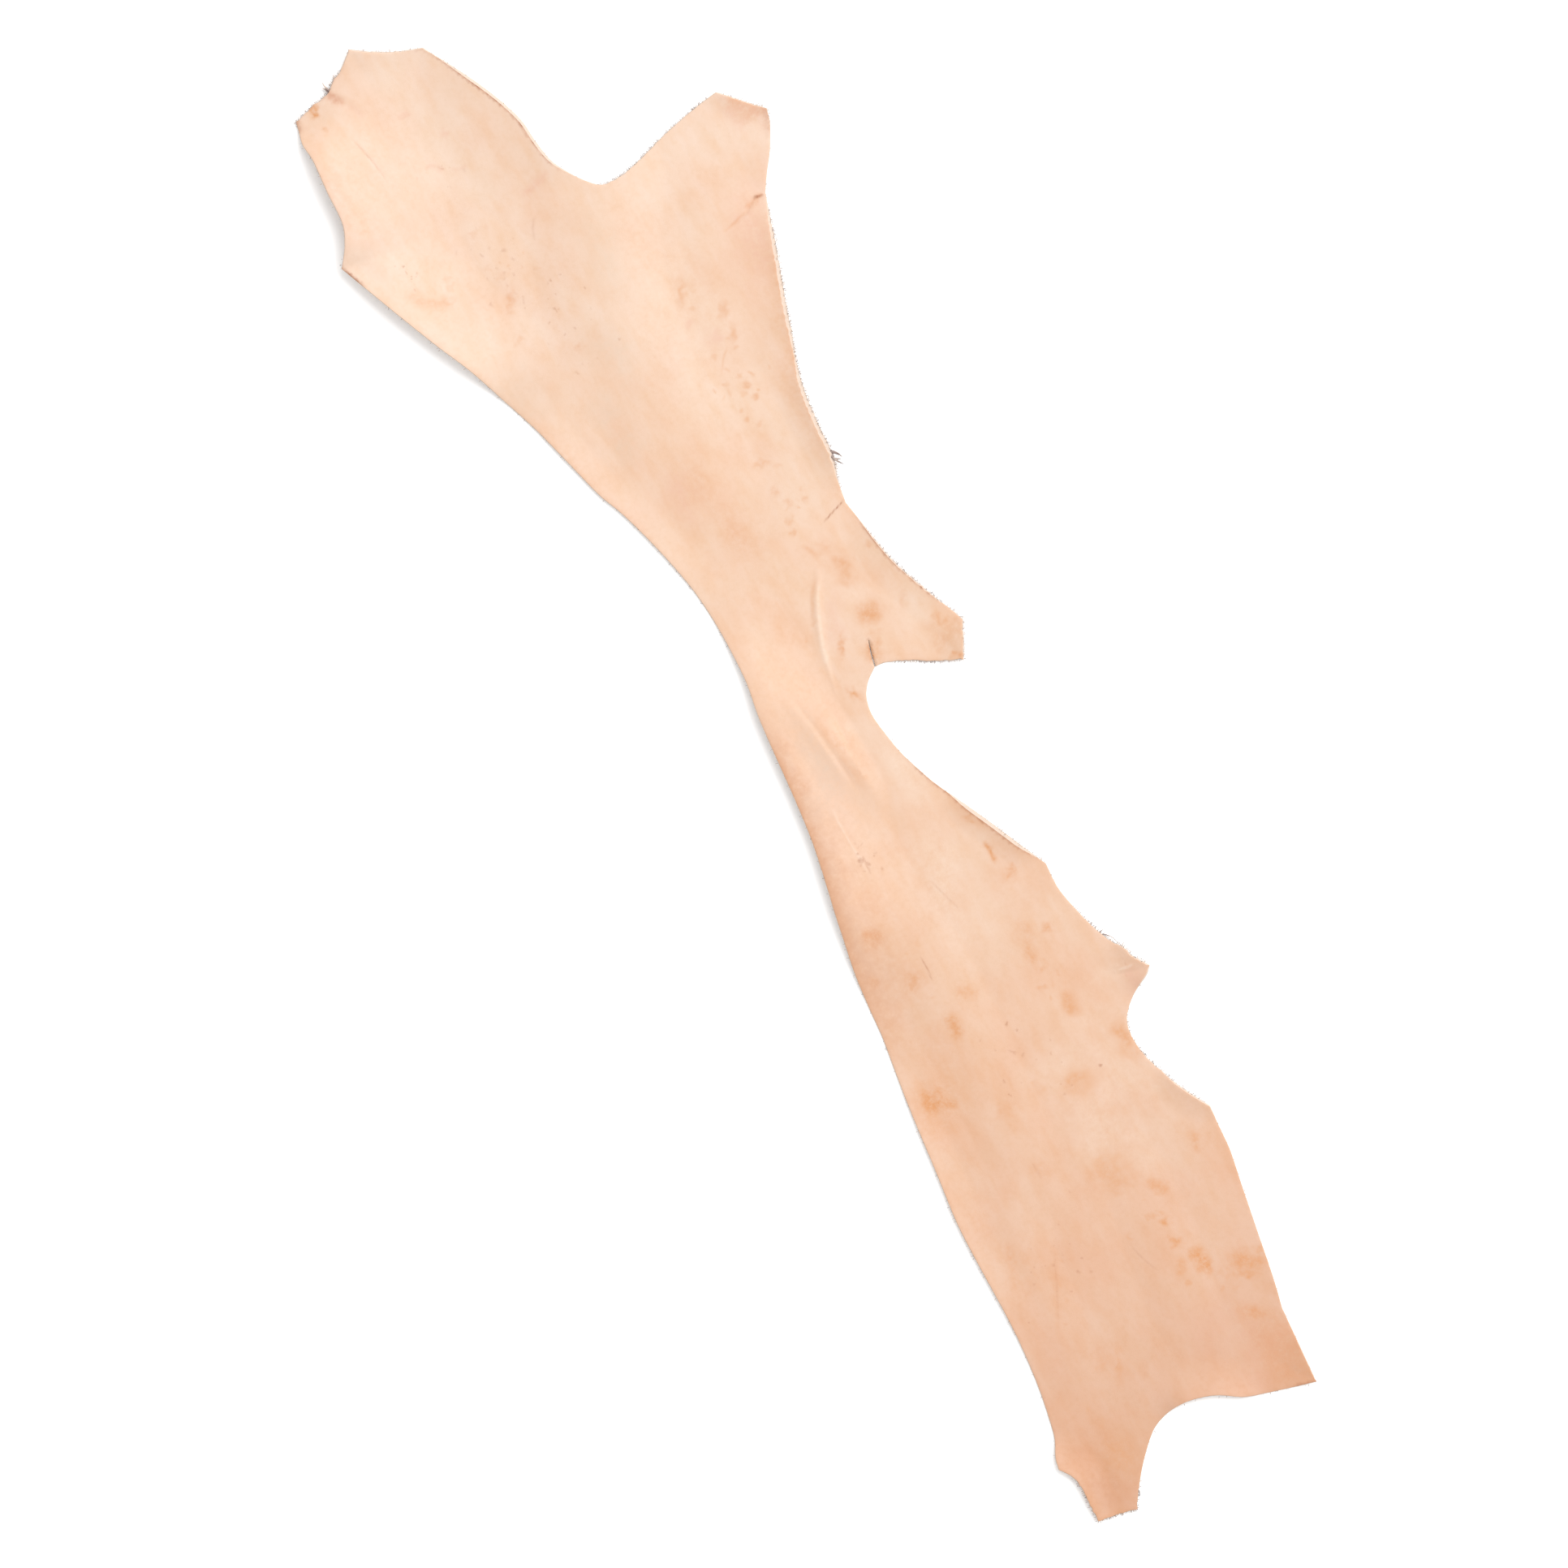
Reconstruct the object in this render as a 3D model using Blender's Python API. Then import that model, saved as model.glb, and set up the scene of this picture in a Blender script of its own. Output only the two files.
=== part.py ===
"""Leather belly: one cut of natural vegetable-tanned hide, laid flat with its grain side up.

It is the strip along an animal's side: a wide end with two lobes, a waist, a small flap and
a long body that ends in a short tab. The sheet is of even thickness. Most of it lies flat,
and its edges and a few long folds stand off the surface, as they do once tanned leather is dry.

The hide is described as it lies, in millimetres right and up from a datum near its waist, and
is then turned so that its length runs along +Y. Its upper side faces +Z and it rests on Z = 0.
"""

from collections import namedtuple
from math import ceil, cos, radians, sin

import bmesh
import bpy
import numpy as np
from mathutils.geometry import delaunay_2d_cdt

MM = 0.001

# Driving sizes, in millimetres
THICKNESS = 3.0
LAY_ANGLE = 30.0
EDGE_STEP = 11.0
RIM_BAND = 30.0
RIM_SPACING = 13.0
FIELD_SPACING = 23.0
RIM_CLEARANCE = 7.5
PLAIN_CUT = 0.5
ROLL_REACH = 26.0
EASE = 0.3
BLEND = 14.0
SETTLE = 0.5

# Colour and finish of natural vegetable-tanned leather
LEATHER_COLOUR = (0.93, 0.64, 0.46, 1.0)
LEATHER_ROUGHNESS = 0.6

# The outline, clockwise. Each section is one cut of the knife: a smooth line through its knots,
# which are (right, up) in mm. Sections meet at corners, and each ends where the next one starts.
Section = namedtuple("Section", "name knots")
OUTLINE = (
    Section("wide end", ((-513, 845), (-477, 842), (-450, 844))),
    Section("big notch", (
        (-431, 847), (-396, 825), (-360, 800), (-338, 782), (-320, 764), (-306, 743), (-288, 721),
        (-270, 709), (-252, 700), (-233, 695), (-216, 702), (-198, 716), (-180, 734), (-162, 752),
        (-144, 768), (-126, 783))),
    Section("second lobe end", ((-106, 798), (-90, 793), (-72, 787))),
    Section("second lobe side", ((-49.5, 780), (-46, 765), (-46, 734), (-49.5, 706))),
    Section("right edge", (
        (-51, 687), (-47, 666), (-39, 627), (-30, 574), (-22, 533), (-14, 489), (-3.5, 456),
        (11, 423), (21.5, 401), (27, 382), (29, 369))),
    Section("flap upper edge", ((38, 343), (54, 323), (72, 300), (90, 279), (117, 255), (144, 233))),
    Section("flap end", ((168, 214), (169, 189))),
    Section("flap lower edge", ((169, 168), (135, 166.5), (106, 167), (81, 165))),
    Section("slit, flap side", ((70.9, 160.8), (66.7, 175))),
    Section("slit, body side", ((63, 191), (65.8, 174.5))),
    Section("armpit", (
        (70, 160), (63, 144), (61, 129), (66, 110), (84, 84), (99, 66), (118, 48), (136, 32.5),
        (163, 13.5), (198, -11.5), (234, -38.5))),
    Section("shoulder", (
        (260, -57.5), (274, -85), (297, -112), (315, -129.5), (335, -145), (348, -151),
        (355.5, -159), (367, -165.5))),
    Section("small notch", (
        (375, -170), (372, -180), (360, -198), (353, -214), (350, -231), (354.5, -247),
        (369, -269), (396, -294), (414, -308))),
    Section("hind side", (
        (442, -326), (450, -344), (463.5, -373), (477, -413), (495, -466), (513, -519))),
    Section("hind corner", ((522, -550), (540, -589))),
    Section("hind end", (
        (560, -632), (540, -637), (504, -645), (480, -649), (450, -647), (432, -649.5),
        (414, -655), (396, -666), (381, -683), (373.5, -702), (366, -732), (362.5, -758))),
    Section("tab end", ((361.5, -773.5), (342, -779))),
    Section("tab side", ((318, -787), (310.5, -774), (298.5, -750), (289, -738))),
    Section("long cut", (
        (273.5, -729.5), (270, -717.5), (269, -695), (263, -673), (252, -640.5), (234, -597),
        (216, -560), (198, -527), (180, -494), (162, -459), (136, -396), (108, -329), (90, -282),
        (78, -250), (63, -217), (47.5, -180), (35.5, -144), (25, -112), (18, -88.5), (0, -33),
        (-18.5, 12), (-47, 76), (-60.5, 108), (-72, 141), (-90, 178), (-108, 210), (-126, 237.5),
        (-144, 260.5), (-180, 300), (-212, 331), (-234, 349), (-270, 386), (-306, 423),
        (-342, 455.5), (-378, 487), (-414, 514), (-450, 542.5), (-486, 572))),
    Section("neck side", (
        (-520.5, 600.5), (-517, 625), (-519, 648), (-536, 684), (-553.5, 722), (-564, 738),
        (-569.5, 756))),
    Section("torn corner", (
        (-572.5, 765), (-560, 776), (-551, 785.5), (-542, 791), (-537, 796.5), (-530, 812),
        (-524, 819), (-521, 825))),
)

# Stretches of the edge that stand off the surface, each from one (right, up) place on the outline
# clockwise to another. lift is the most the edge rises, reach is how far in the rise starts, roll
# is how far the last bit turns down again, and cut is how much of the cut face shows from above.
EdgeLift = namedtuple("EdgeLift", "name start end lift reach roll cut")
EDGE_LIFTS = (
    EdgeLift("wide end", (-530, 812), (-400, 828), 5, 60, 0, 1.5),
    EdgeLift("big notch, first lobe", (-440, 846), (-240, 695), 9, 125, 0, 3.0),
    EdgeLift("second lobe tip", (-126, 783), (-46, 760), 3, 40, 0, 1.2),
    EdgeLift("right edge, upper", (-50, 700), (-12, 480), 6, 70, 0, 4.5),
    EdgeLift("right edge, lower", (-20, 520), (34, 350), 6, 45, 0, 4.5),
    EdgeLift("flap upper edge", (38, 343), (166, 216), 4, 50, 0, 1.5),
    EdgeLift("flap end", (150, 228), (140, 166.5), 5, 60, 0, 1.2),
    EdgeLift("armpit, lower", (140, 27), (262, -59), 5, 38, 0, 4.0),
    EdgeLift("small tip", (330, -142), (356, -207), 7, 50, 0, 1.5),
    EdgeLift("small notch", (380, -281), (450, -345), 4, 40, 0, 1.5),
    EdgeLift("hind corner", (528, -562), (520, -642), 4, 60, 0, 0.8),
    EdgeLift("hind end", (500, -646), (385, -678), 8, 50, 0, 0.5),
    EdgeLift("tab", (345, -778), (268, -690), 8, 45, 0, 0.8),
    EdgeLift("long cut, tail", (256, -650), (80, -255), 6, 40, 1.5, 0.5),
    EdgeLift("long cut, waist", (70, -230), (-118, 226), 22, 100, 6, 0.5),
    EdgeLift("long cut, middle", (-110, 214), (-350, 462), 5, 40, 1.5, 0.5),
    EdgeLift("long cut, lobe", (-330, 445), (-519, 648), 20, 110, 0, 0.5),
    EdgeLift("neck side", (-505, 588), (-571, 762), 27, 155, 2, 0.8),
)

# Soft folds that run across the hide. Each reaches width mm to either side of its crest, whose
# knots are (right, up, height) in mm. point is 0 for a round crest and 1 for a creased one.
Fold = namedtuple("Fold", "name width point knots")
FOLDS = (
    Fold("ridge from the big notch", 88, 0.15, (
        (-238, 700, 5.5), (-241, 630, 5.5), (-227, 567, 5), (-202, 504, 4.5), (-171, 450, 4),
        (-135, 391, 3), (-103, 324, 2), (-85, 270, 0))),
    Fold("second lobe swell", 60, 0, (
        (-110, 740, 0), (-104, 660, 2), (-92, 560, 2), (-70, 480, 0))),
    Fold("pinched crease", 15, 0.5, ((8, 290, 0), (6, 237, 1.5), (9, 200, 1.5), (26, 133, 0))),
    Fold("waist fold, left side", 30, 0.3, (
        (-45, 160, 0), (-14, 112, 3.5), (26, 50, 3.5), (44, 10, 0))),
    Fold("waist fold, right side", 26, 0.5, (
        (-11, 150, 0), (24, 92, 3.2), (57, 40, 3.2), (83, -2, 0))),
    Fold("long swell", 62, 0.1, (
        (20, 40, 0), (76, -90, 2.4), (135, -180, 2.8), (180, -270, 2.4), (225, -360, 2),
        (285, -480, 0))),
    Fold("hind swell", 58, 0, ((330, -330, 0), (370, -430, 1.8), (420, -560, 1.8), (450, -620, 0))),
    Fold("tail swell", 50, 0.1, (
        (190, -390, 0), (230, -480, 1.8), (275, -580, 1.8), (310, -680, 0))),
)


def smooth_run(knots, step, last):
    """A smooth line through knots and on to last, as points about step apart, without last."""
    points = [np.array(knot, float) for knot in (*knots, last)]
    ends = [2 * points[0] - points[1], *points, 2 * points[-1] - points[-2]]
    run = []
    for before, here, there, after in zip(ends, ends[1:], ends[2:], ends[3:]):
        gaps = [max(np.linalg.norm(b - a), 1e-6) ** 0.5
                for a, b in ((before, here), (here, there), (there, after))]
        leave = slope_at(before, here, there, gaps[0], gaps[1]) * gaps[1]
        arrive = slope_at(here, there, after, gaps[1], gaps[2]) * gaps[1]
        count = max(1, ceil(np.linalg.norm(there - here) / step))
        for t in np.arange(count) / count:
            run.append((2 * t**3 - 3 * t**2 + 1) * here + (t**3 - 2 * t**2 + t) * leave
                       + (3 * t**2 - 2 * t**3) * there + (t**3 - t**2) * arrive)
    return run


def slope_at(before, here, after, gap_in, gap_out):
    """The direction of a centripetal spline at here."""
    return ((here - before) / gap_in - (after - before) / (gap_in + gap_out)
            + (after - here) / gap_out)


def trace_outline(step):
    """The whole outline as points about step apart, clockwise, one row each."""
    points = []
    for section, following in zip(OUTLINE, OUTLINE[1:] + OUTLINE[:1]):
        points += smooth_run(section.knots, step, following.knots[0])
    return np.array(points)


def distance_along(line, points):
    """How far each point is from a line of points, and where along it, from 0 to 1."""
    marks = places_along(line)
    best = np.full(len(points), np.inf)
    where = np.zeros(len(points))
    for index, (a, b) in enumerate(zip(line, line[1:])):
        along = b - a
        share = np.clip((points - a) @ along / max(along @ along, 1e-9), 0, 1)
        gap = np.linalg.norm(points - a - share[:, None] * along, axis=1)
        closer = gap < best
        best[closer] = gap[closer]
        where[closer] = marks[index] + share[closer] * (marks[index + 1] - marks[index])
    return best, where


def places_along(line):
    """How far along a line each of its own points is, from 0 to 1."""
    travelled = np.concatenate([[0.0], np.cumsum(np.linalg.norm(np.diff(line, axis=0), axis=1))])
    return travelled / travelled[-1]


def ease_ends(where):
    """A weight that rises smoothly from 0 at either end of a stretch to 1."""
    ramp = np.clip(np.minimum(where, 1 - where) / EASE, 0, 1)
    return ramp * ramp * (3 - 2 * ramp)


def stretch_of(outline, lift):
    """The part of the outline that an edge lift covers."""
    first = np.argmin(np.linalg.norm(outline - np.array(lift.start), axis=1))
    last = np.argmin(np.linalg.norm(outline - np.array(lift.end), axis=1))
    count = (last - first) % len(outline) + 1
    return outline[(first + np.arange(count)) % len(outline)]


def blended(line, points, values):
    """The values given along a line, blended smoothly over the points around it."""
    total = np.zeros(len(points))
    weights = np.zeros(len(points))
    for place, value in zip(line, values):
        weight = 1 / (((points - place) ** 2).sum(axis=1) + BLEND**2) ** 3
        total += weight * value
        weights += weight
    return total / weights


def height_at(outline, points):
    """How far the underside stands off the surface at each point, in mm."""
    height = np.zeros(len(points))
    for lift in EDGE_LIFTS:
        stretch = stretch_of(outline, lift)
        gap, _ = distance_along(stretch, points)
        rise = lift.lift * np.clip(1 - gap / lift.reach, 0, 1) ** 2
        fall = lift.roll * np.clip(1 - gap / ROLL_REACH, 0, 1) ** 2
        height += (rise - fall) * blended(stretch, points, ease_ends(places_along(stretch)))
    for fold in FOLDS:
        line = np.array(smooth_run(fold.knots[:-1], EDGE_STEP, fold.knots[-1]) + [fold.knots[-1]])
        gap, _ = distance_along(line[:, :2], points)
        share = np.clip(gap / fold.width, 0, 1)
        round_crest = (1 - share**2) ** 2
        creased = (1 - share) ** 2
        profile = (1 - fold.point) * round_crest + fold.point * creased
        height += profile * blended(line[:, :2], points, line[:, 2])
    return np.clip(height - SETTLE, 0, None)


def cut_width(outline):
    """How much of the cut face shows from above at each point of the outline, in mm."""
    width = np.full(len(outline), PLAIN_CUT)
    for lift in EDGE_LIFTS:
        gap, where = distance_along(stretch_of(outline, lift), outline)
        on_it = gap < MM
        width[on_it] = np.maximum(width[on_it], lift.cut * ease_ends(where[on_it]))
    return width


def inward(outline):
    """The direction into the hide at each point of a clockwise outline."""
    ahead = np.roll(outline, -1, axis=0) - outline
    behind = outline - np.roll(outline, 1, axis=0)
    ahead /= np.linalg.norm(ahead, axis=1)[:, None]
    behind /= np.linalg.norm(behind, axis=1)[:, None]
    along = ahead + behind
    along /= np.maximum(np.linalg.norm(along, axis=1), 0.2)[:, None]
    return np.stack([along[:, 1], -along[:, 0]], axis=1)


def inside(outline, points):
    """Which points lie inside the outline."""
    result = np.zeros(len(points), bool)
    for (ax, ay), (bx, by) in zip(outline, np.roll(outline, -1, axis=0)):
        spans = (ay > points[:, 1]) != (by > points[:, 1])
        if spans.any():
            result[spans] ^= points[spans, 0] < ax + (points[spans, 1] - ay) * (bx - ax) / (by - ay)
    return result


def lattice(low, high, spacing):
    """A triangular lattice of points over a rectangle."""
    row_gap = spacing * 3**0.5 / 2
    rows = np.arange(low[1], high[1] + row_gap, row_gap)
    columns = np.arange(low[0], high[0] + spacing, spacing)
    return np.array([(x + spacing / 2 * (row % 2), y)
                     for row, y in enumerate(rows) for x in columns])


def field_points(outline):
    """Points inside the hide: close together near its edge and wider apart in the middle."""
    low, high = outline.min(axis=0), outline.max(axis=0)
    closed = np.vstack([outline, outline[:1]])
    chosen = []
    for spacing, nearest, furthest in (
            (RIM_SPACING, RIM_CLEARANCE, RIM_BAND), (FIELD_SPACING, RIM_BAND + 8, np.inf)):
        points = lattice(low, high, spacing)
        points = points[inside(outline, points)]
        gap, _ = distance_along(closed, points)
        chosen.append(points[(gap > nearest) & (gap <= furthest)])
    return np.vstack(chosen)


def to_part_frame(points):
    """Turn (right, up) places so that the hide's length runs along +Y."""
    turn = radians(LAY_ANGLE)
    right, up = points[:, 0], points[:, 1]
    return np.stack([right * cos(turn) + up * sin(turn), up * cos(turn) - right * sin(turn)], axis=1)


def build_hide():
    """The sheet as one closed mesh: underside, grain side and the cut face between them."""
    outline = trace_outline(EDGE_STEP)
    flat = np.vstack([outline, field_points(outline)])
    rim = len(outline)
    loop = [(index, (index + 1) % rim) for index in range(rim)]
    places, _, faces, *_ = delaunay_2d_cdt([tuple(p) for p in flat], loop, [], 1, 1e-5)
    if len(places) != len(flat):
        raise RuntimeError("the outline crosses itself")

    height = height_at(outline, flat)
    grain_flat = flat.copy()
    grain_flat[:rim] += inward(outline) * cut_width(outline)[:, None]
    under = to_part_frame(flat)
    grain = to_part_frame(grain_flat)
    centre = (under.min(axis=0) + under.max(axis=0)) / 2

    body = bmesh.new()
    lower = [body.verts.new((x * MM, y * MM, z * MM)) for (x, y), z in zip(under - centre, height)]
    upper = [body.verts.new((x * MM, y * MM, (z + THICKNESS) * MM))
             for (x, y), z in zip(grain - centre, height)]
    for face in faces:
        body.faces.new([upper[index] for index in face])
        body.faces.new([lower[index] for index in reversed(face)])
    for a, b in loop:
        body.faces.new((lower[a], upper[a], upper[b], lower[b]))
    bmesh.ops.triangulate(body, faces=[face for face in body.faces if len(face.verts) > 3])
    bmesh.ops.recalc_face_normals(body, faces=body.faces)
    return body


def leather_material():
    """Natural vegetable-tanned leather: undyed, pale pink-tan, with a dull waxed sheen."""
    material = bpy.data.materials.new("vegetable-tanned leather")
    material.use_nodes = True
    shader = material.node_tree.nodes["Principled BSDF"]
    shader.inputs["Base Color"].default_value = LEATHER_COLOUR
    shader.inputs["Roughness"].default_value = LEATHER_ROUGHNESS
    shader.inputs["Metallic"].default_value = 0.0
    return material


def main():
    for item in list(bpy.data.objects):
        bpy.data.objects.remove(item, do_unlink=True)
    body = build_hide()
    mesh = bpy.data.meshes.new("leather_belly")
    body.to_mesh(mesh)
    body.free()
    mesh.materials.append(leather_material())
    mesh.shade_smooth()
    mesh.set_sharp_from_angle(angle=radians(40))
    hide = bpy.data.objects.new("leather_belly", mesh)
    bpy.context.scene.collection.objects.link(hide)


main()
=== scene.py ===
"""Looks of a leather belly: one cut of natural vegetable-tanned hide, laid flat, grain side up.

The hide is a closed sheet with its grain side, its cut edge and its flesh side. Its outline, its
raised edges and its folds are those of the solid that it stands for. Creases, stains, veins,
painted shade and light beside some folds and lifted edges, and the fibres that stand out of the
cut edge are added here.

Places on the hide are written as it lies, in millimetres right and up from a datum near its
waist. It is turned by LAY_ANGLE so that its length runs along +Y.
"""

from collections import namedtuple
from math import ceil, cos, radians, sin
from random import Random

import bmesh
import bpy
import numpy as np
from bpy.props import FloatProperty, FloatVectorProperty, IntProperty, PointerProperty
from bpy.types import Operator, Panel, PropertyGroup
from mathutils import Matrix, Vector, noise
from mathutils.geometry import delaunay_2d_cdt
from mathutils.kdtree import KDTree


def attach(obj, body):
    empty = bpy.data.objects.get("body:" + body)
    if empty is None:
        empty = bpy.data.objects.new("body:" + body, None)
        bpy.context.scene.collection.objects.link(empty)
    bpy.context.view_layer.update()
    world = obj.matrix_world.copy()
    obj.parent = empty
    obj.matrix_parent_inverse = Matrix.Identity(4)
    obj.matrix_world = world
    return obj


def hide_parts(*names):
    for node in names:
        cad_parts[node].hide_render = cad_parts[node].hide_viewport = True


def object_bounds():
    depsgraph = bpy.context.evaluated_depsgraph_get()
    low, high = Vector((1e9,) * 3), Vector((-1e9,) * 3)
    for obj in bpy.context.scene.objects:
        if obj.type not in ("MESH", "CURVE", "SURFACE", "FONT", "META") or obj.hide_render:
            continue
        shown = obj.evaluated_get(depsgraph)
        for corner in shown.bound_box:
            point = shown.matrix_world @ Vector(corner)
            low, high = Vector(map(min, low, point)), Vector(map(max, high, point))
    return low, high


bl_info = {
    "name": "Leather belly",
    "version": (1, 0, 0),
    "blender": (4, 5, 0),
    "location": "3D Viewport > Sidebar > Leather",
    "description": "Lays out a vegetable-tanned leather belly with its stains, creases and raw edge",
    "category": "Object",
}

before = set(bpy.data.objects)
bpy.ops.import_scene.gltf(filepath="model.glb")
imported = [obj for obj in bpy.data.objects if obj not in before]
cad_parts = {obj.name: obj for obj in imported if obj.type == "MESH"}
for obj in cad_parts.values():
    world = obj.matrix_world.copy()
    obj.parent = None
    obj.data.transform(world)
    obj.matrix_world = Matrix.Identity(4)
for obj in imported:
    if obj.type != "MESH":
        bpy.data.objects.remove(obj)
CAD_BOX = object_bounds()
HIDE_NODE = "leather_belly"

MM = 0.001

# How the hide lies, shared with the solid. Lengths are in mm.
LAY_ANGLE = 30.0  # Degrees that it is turned by, so that its length runs along +Y
OUTLINE_STEP = 11.0  # Distance between points of the outline
PLAIN_CUT = 0.5  # How much of the cut face shows where the edge lies flat
ROLL_REACH = 26.0  # How far in from the edge it starts to turn down again
EASE = 0.3  # Share of a stretch over which its lift grows from nothing
BLEND = 14.0  # How far values along a line run into each other
SETTLE = 0.5  # How much of every rise the hide's own weight takes away

SAME_PLACE = 0.001  # Points of the outline this close in mm are the same
ON_EDGE = 1.5  # How far the finely traced edge may be from the outline in mm
RAMP_STEEP = 12  # Raggedness and fuzz are whole a twelfth of the way into their stretch

# Places of node sockets that share a name with others on their node
FACTOR, MIX_A, MIX_B, MIXED = 0, 6, 7, 2
LEAST_FLOAT, MOST_FLOAT = 2, 3
VECTOR_VALUE, FLOAT_VALUE, BOOLEAN_VALUE = 0, 1, 3

# Stage: degrees from the picture's right towards its top for the key light, the place at the
# middle of the picture in mm, and the floor's height in metres, just under the hide
KEY_SIDE = 45.0
VIEW_MIDDLE = (-30.6, 30.6)
FLOOR_Z = -0.0002

# The outline, clockwise. Each section is one cut of the knife: a smooth line through its knots,
# which are (right, up) in mm. Sections meet at corners, and each ends where the next one starts.
Section = namedtuple("Section", "name knots")
OUTLINE = [Section(*row) for row in (
    ("wide end", ((-513, 845), (-477, 842), (-450, 844))),
    ("big notch", (
        (-431, 847), (-396, 825), (-360, 800), (-338, 782), (-320, 764), (-306, 743), (-288, 721),
        (-270, 709), (-252, 700), (-233, 695), (-216, 702), (-198, 716), (-180, 734), (-162, 752),
        (-144, 768), (-126, 783))),
    ("second lobe end", ((-106, 798), (-90, 793), (-72, 787))),
    ("second lobe side", ((-49.5, 780), (-46, 765), (-46, 734), (-49.5, 706))),
    ("right edge", (
        (-51, 687), (-47, 666), (-39, 627), (-30, 574), (-22, 533), (-14, 489), (-3.5, 456),
        (11, 423), (21.5, 401), (27, 382), (29, 369))),
    ("flap upper edge", ((38, 343), (54, 323), (72, 300), (90, 279), (117, 255), (144, 233))),
    ("flap end", ((168, 214), (169, 189))),
    ("flap lower edge", ((169, 168), (135, 166.5), (106, 167), (81, 165))),
    ("slit, flap side", ((70.9, 160.8), (66.7, 175))),
    ("slit, body side", ((63, 191), (65.8, 174.5))),
    ("armpit", (
        (70, 160), (63, 144), (61, 129), (66, 110), (84, 84), (99, 66), (118, 48), (136, 32.5),
        (163, 13.5), (198, -11.5), (234, -38.5))),
    ("shoulder", (
        (260, -57.5), (274, -85), (297, -112), (315, -129.5), (335, -145), (348, -151),
        (355.5, -159), (367, -165.5))),
    ("small notch", (
        (375, -170), (372, -180), (360, -198), (353, -214), (350, -231), (354.5, -247),
        (369, -269), (396, -294), (414, -308))),
    ("hind side", (
        (442, -326), (450, -344), (463.5, -373), (477, -413), (495, -466), (513, -519))),
    ("hind corner", ((522, -550), (540, -589))),
    ("hind end", (
        (560, -632), (540, -637), (504, -645), (480, -649), (450, -647), (432, -649.5),
        (414, -655), (396, -666), (381, -683), (373.5, -702), (366, -732), (362.5, -758))),
    ("tab end", ((361.5, -773.5), (342, -779))),
    ("tab side", ((318, -787), (310.5, -774), (298.5, -750), (289, -738))),
    ("long cut", (
        (273.5, -729.5), (270, -717.5), (269, -695), (263, -673), (252, -640.5), (234, -597),
        (216, -560), (198, -527), (180, -494), (162, -459), (136, -396), (108, -329), (90, -282),
        (78, -250), (63, -217), (47.5, -180), (35.5, -144), (25, -112), (18, -88.5), (0, -33),
        (-18.5, 12), (-47, 76), (-60.5, 108), (-72, 141), (-90, 178), (-108, 210), (-126, 237.5),
        (-144, 260.5), (-180, 300), (-212, 331), (-234, 349), (-270, 386), (-306, 423),
        (-342, 455.5), (-378, 487), (-414, 514), (-450, 542.5), (-486, 572))),
    ("neck side", (
        (-520.5, 600.5), (-517, 625), (-519, 648), (-536, 684), (-553.5, 722), (-564, 738),
        (-569.5, 756))),
    ("torn corner", (
        (-572.5, 765), (-560, 776), (-551, 785.5), (-542, 791), (-537, 796.5), (-530, 812),
        (-524, 819), (-521, 825))),
)]

# The middle of the slit, where the knife only parted the leather and left its rims square
SLIT = ((63, 191), (66.2, 175), (70.4, 160.5))

# Stretches of the edge that stand off the surface, each from one (right, up) place on the outline
# clockwise to another. lift is the most the edge rises, reach is how far in the rise starts, roll
# is how far the last bit turns down again, and cut is how much of the cut face shows from above.
EdgeLift = namedtuple("EdgeLift", "name start end lift reach roll cut")
EDGE_LIFTS = [EdgeLift(*row) for row in (
    ("wide end", (-530, 812), (-400, 828), 5, 60, 0, 1.5),
    ("big notch, first lobe", (-440, 846), (-240, 695), 9, 125, 0, 3.0),
    ("second lobe tip", (-126, 783), (-46, 760), 3, 40, 0, 1.2),
    ("right edge, upper", (-50, 700), (-12, 480), 6, 70, 0, 4.5),
    ("right edge, lower", (-20, 520), (34, 350), 6, 45, 0, 4.5),
    ("flap upper edge", (38, 343), (166, 216), 4, 50, 0, 1.5),
    ("flap end", (150, 228), (140, 166.5), 5, 60, 0, 1.2),
    ("armpit, lower", (140, 27), (262, -59), 5, 38, 0, 4.0),
    ("small tip", (330, -142), (356, -207), 7, 50, 0, 1.5),
    ("small notch", (380, -281), (450, -345), 4, 40, 0, 1.5),
    ("hind corner", (528, -562), (520, -642), 4, 60, 0, 0.8),
    ("hind end", (500, -646), (385, -678), 8, 50, 0, 0.5),
    ("tab", (345, -778), (268, -690), 8, 45, 0, 0.8),
    ("long cut, tail", (256, -650), (80, -255), 6, 40, 1.5, 0.5),
    ("long cut, waist", (70, -230), (-118, 226), 22, 100, 6, 0.5),
    ("long cut, middle", (-110, 214), (-350, 462), 5, 40, 1.5, 0.5),
    ("long cut, lobe", (-330, 445), (-519, 648), 20, 110, 0, 0.5),
    ("neck side", (-505, 588), (-571, 762), 27, 155, 2, 0.8),
)]

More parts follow.
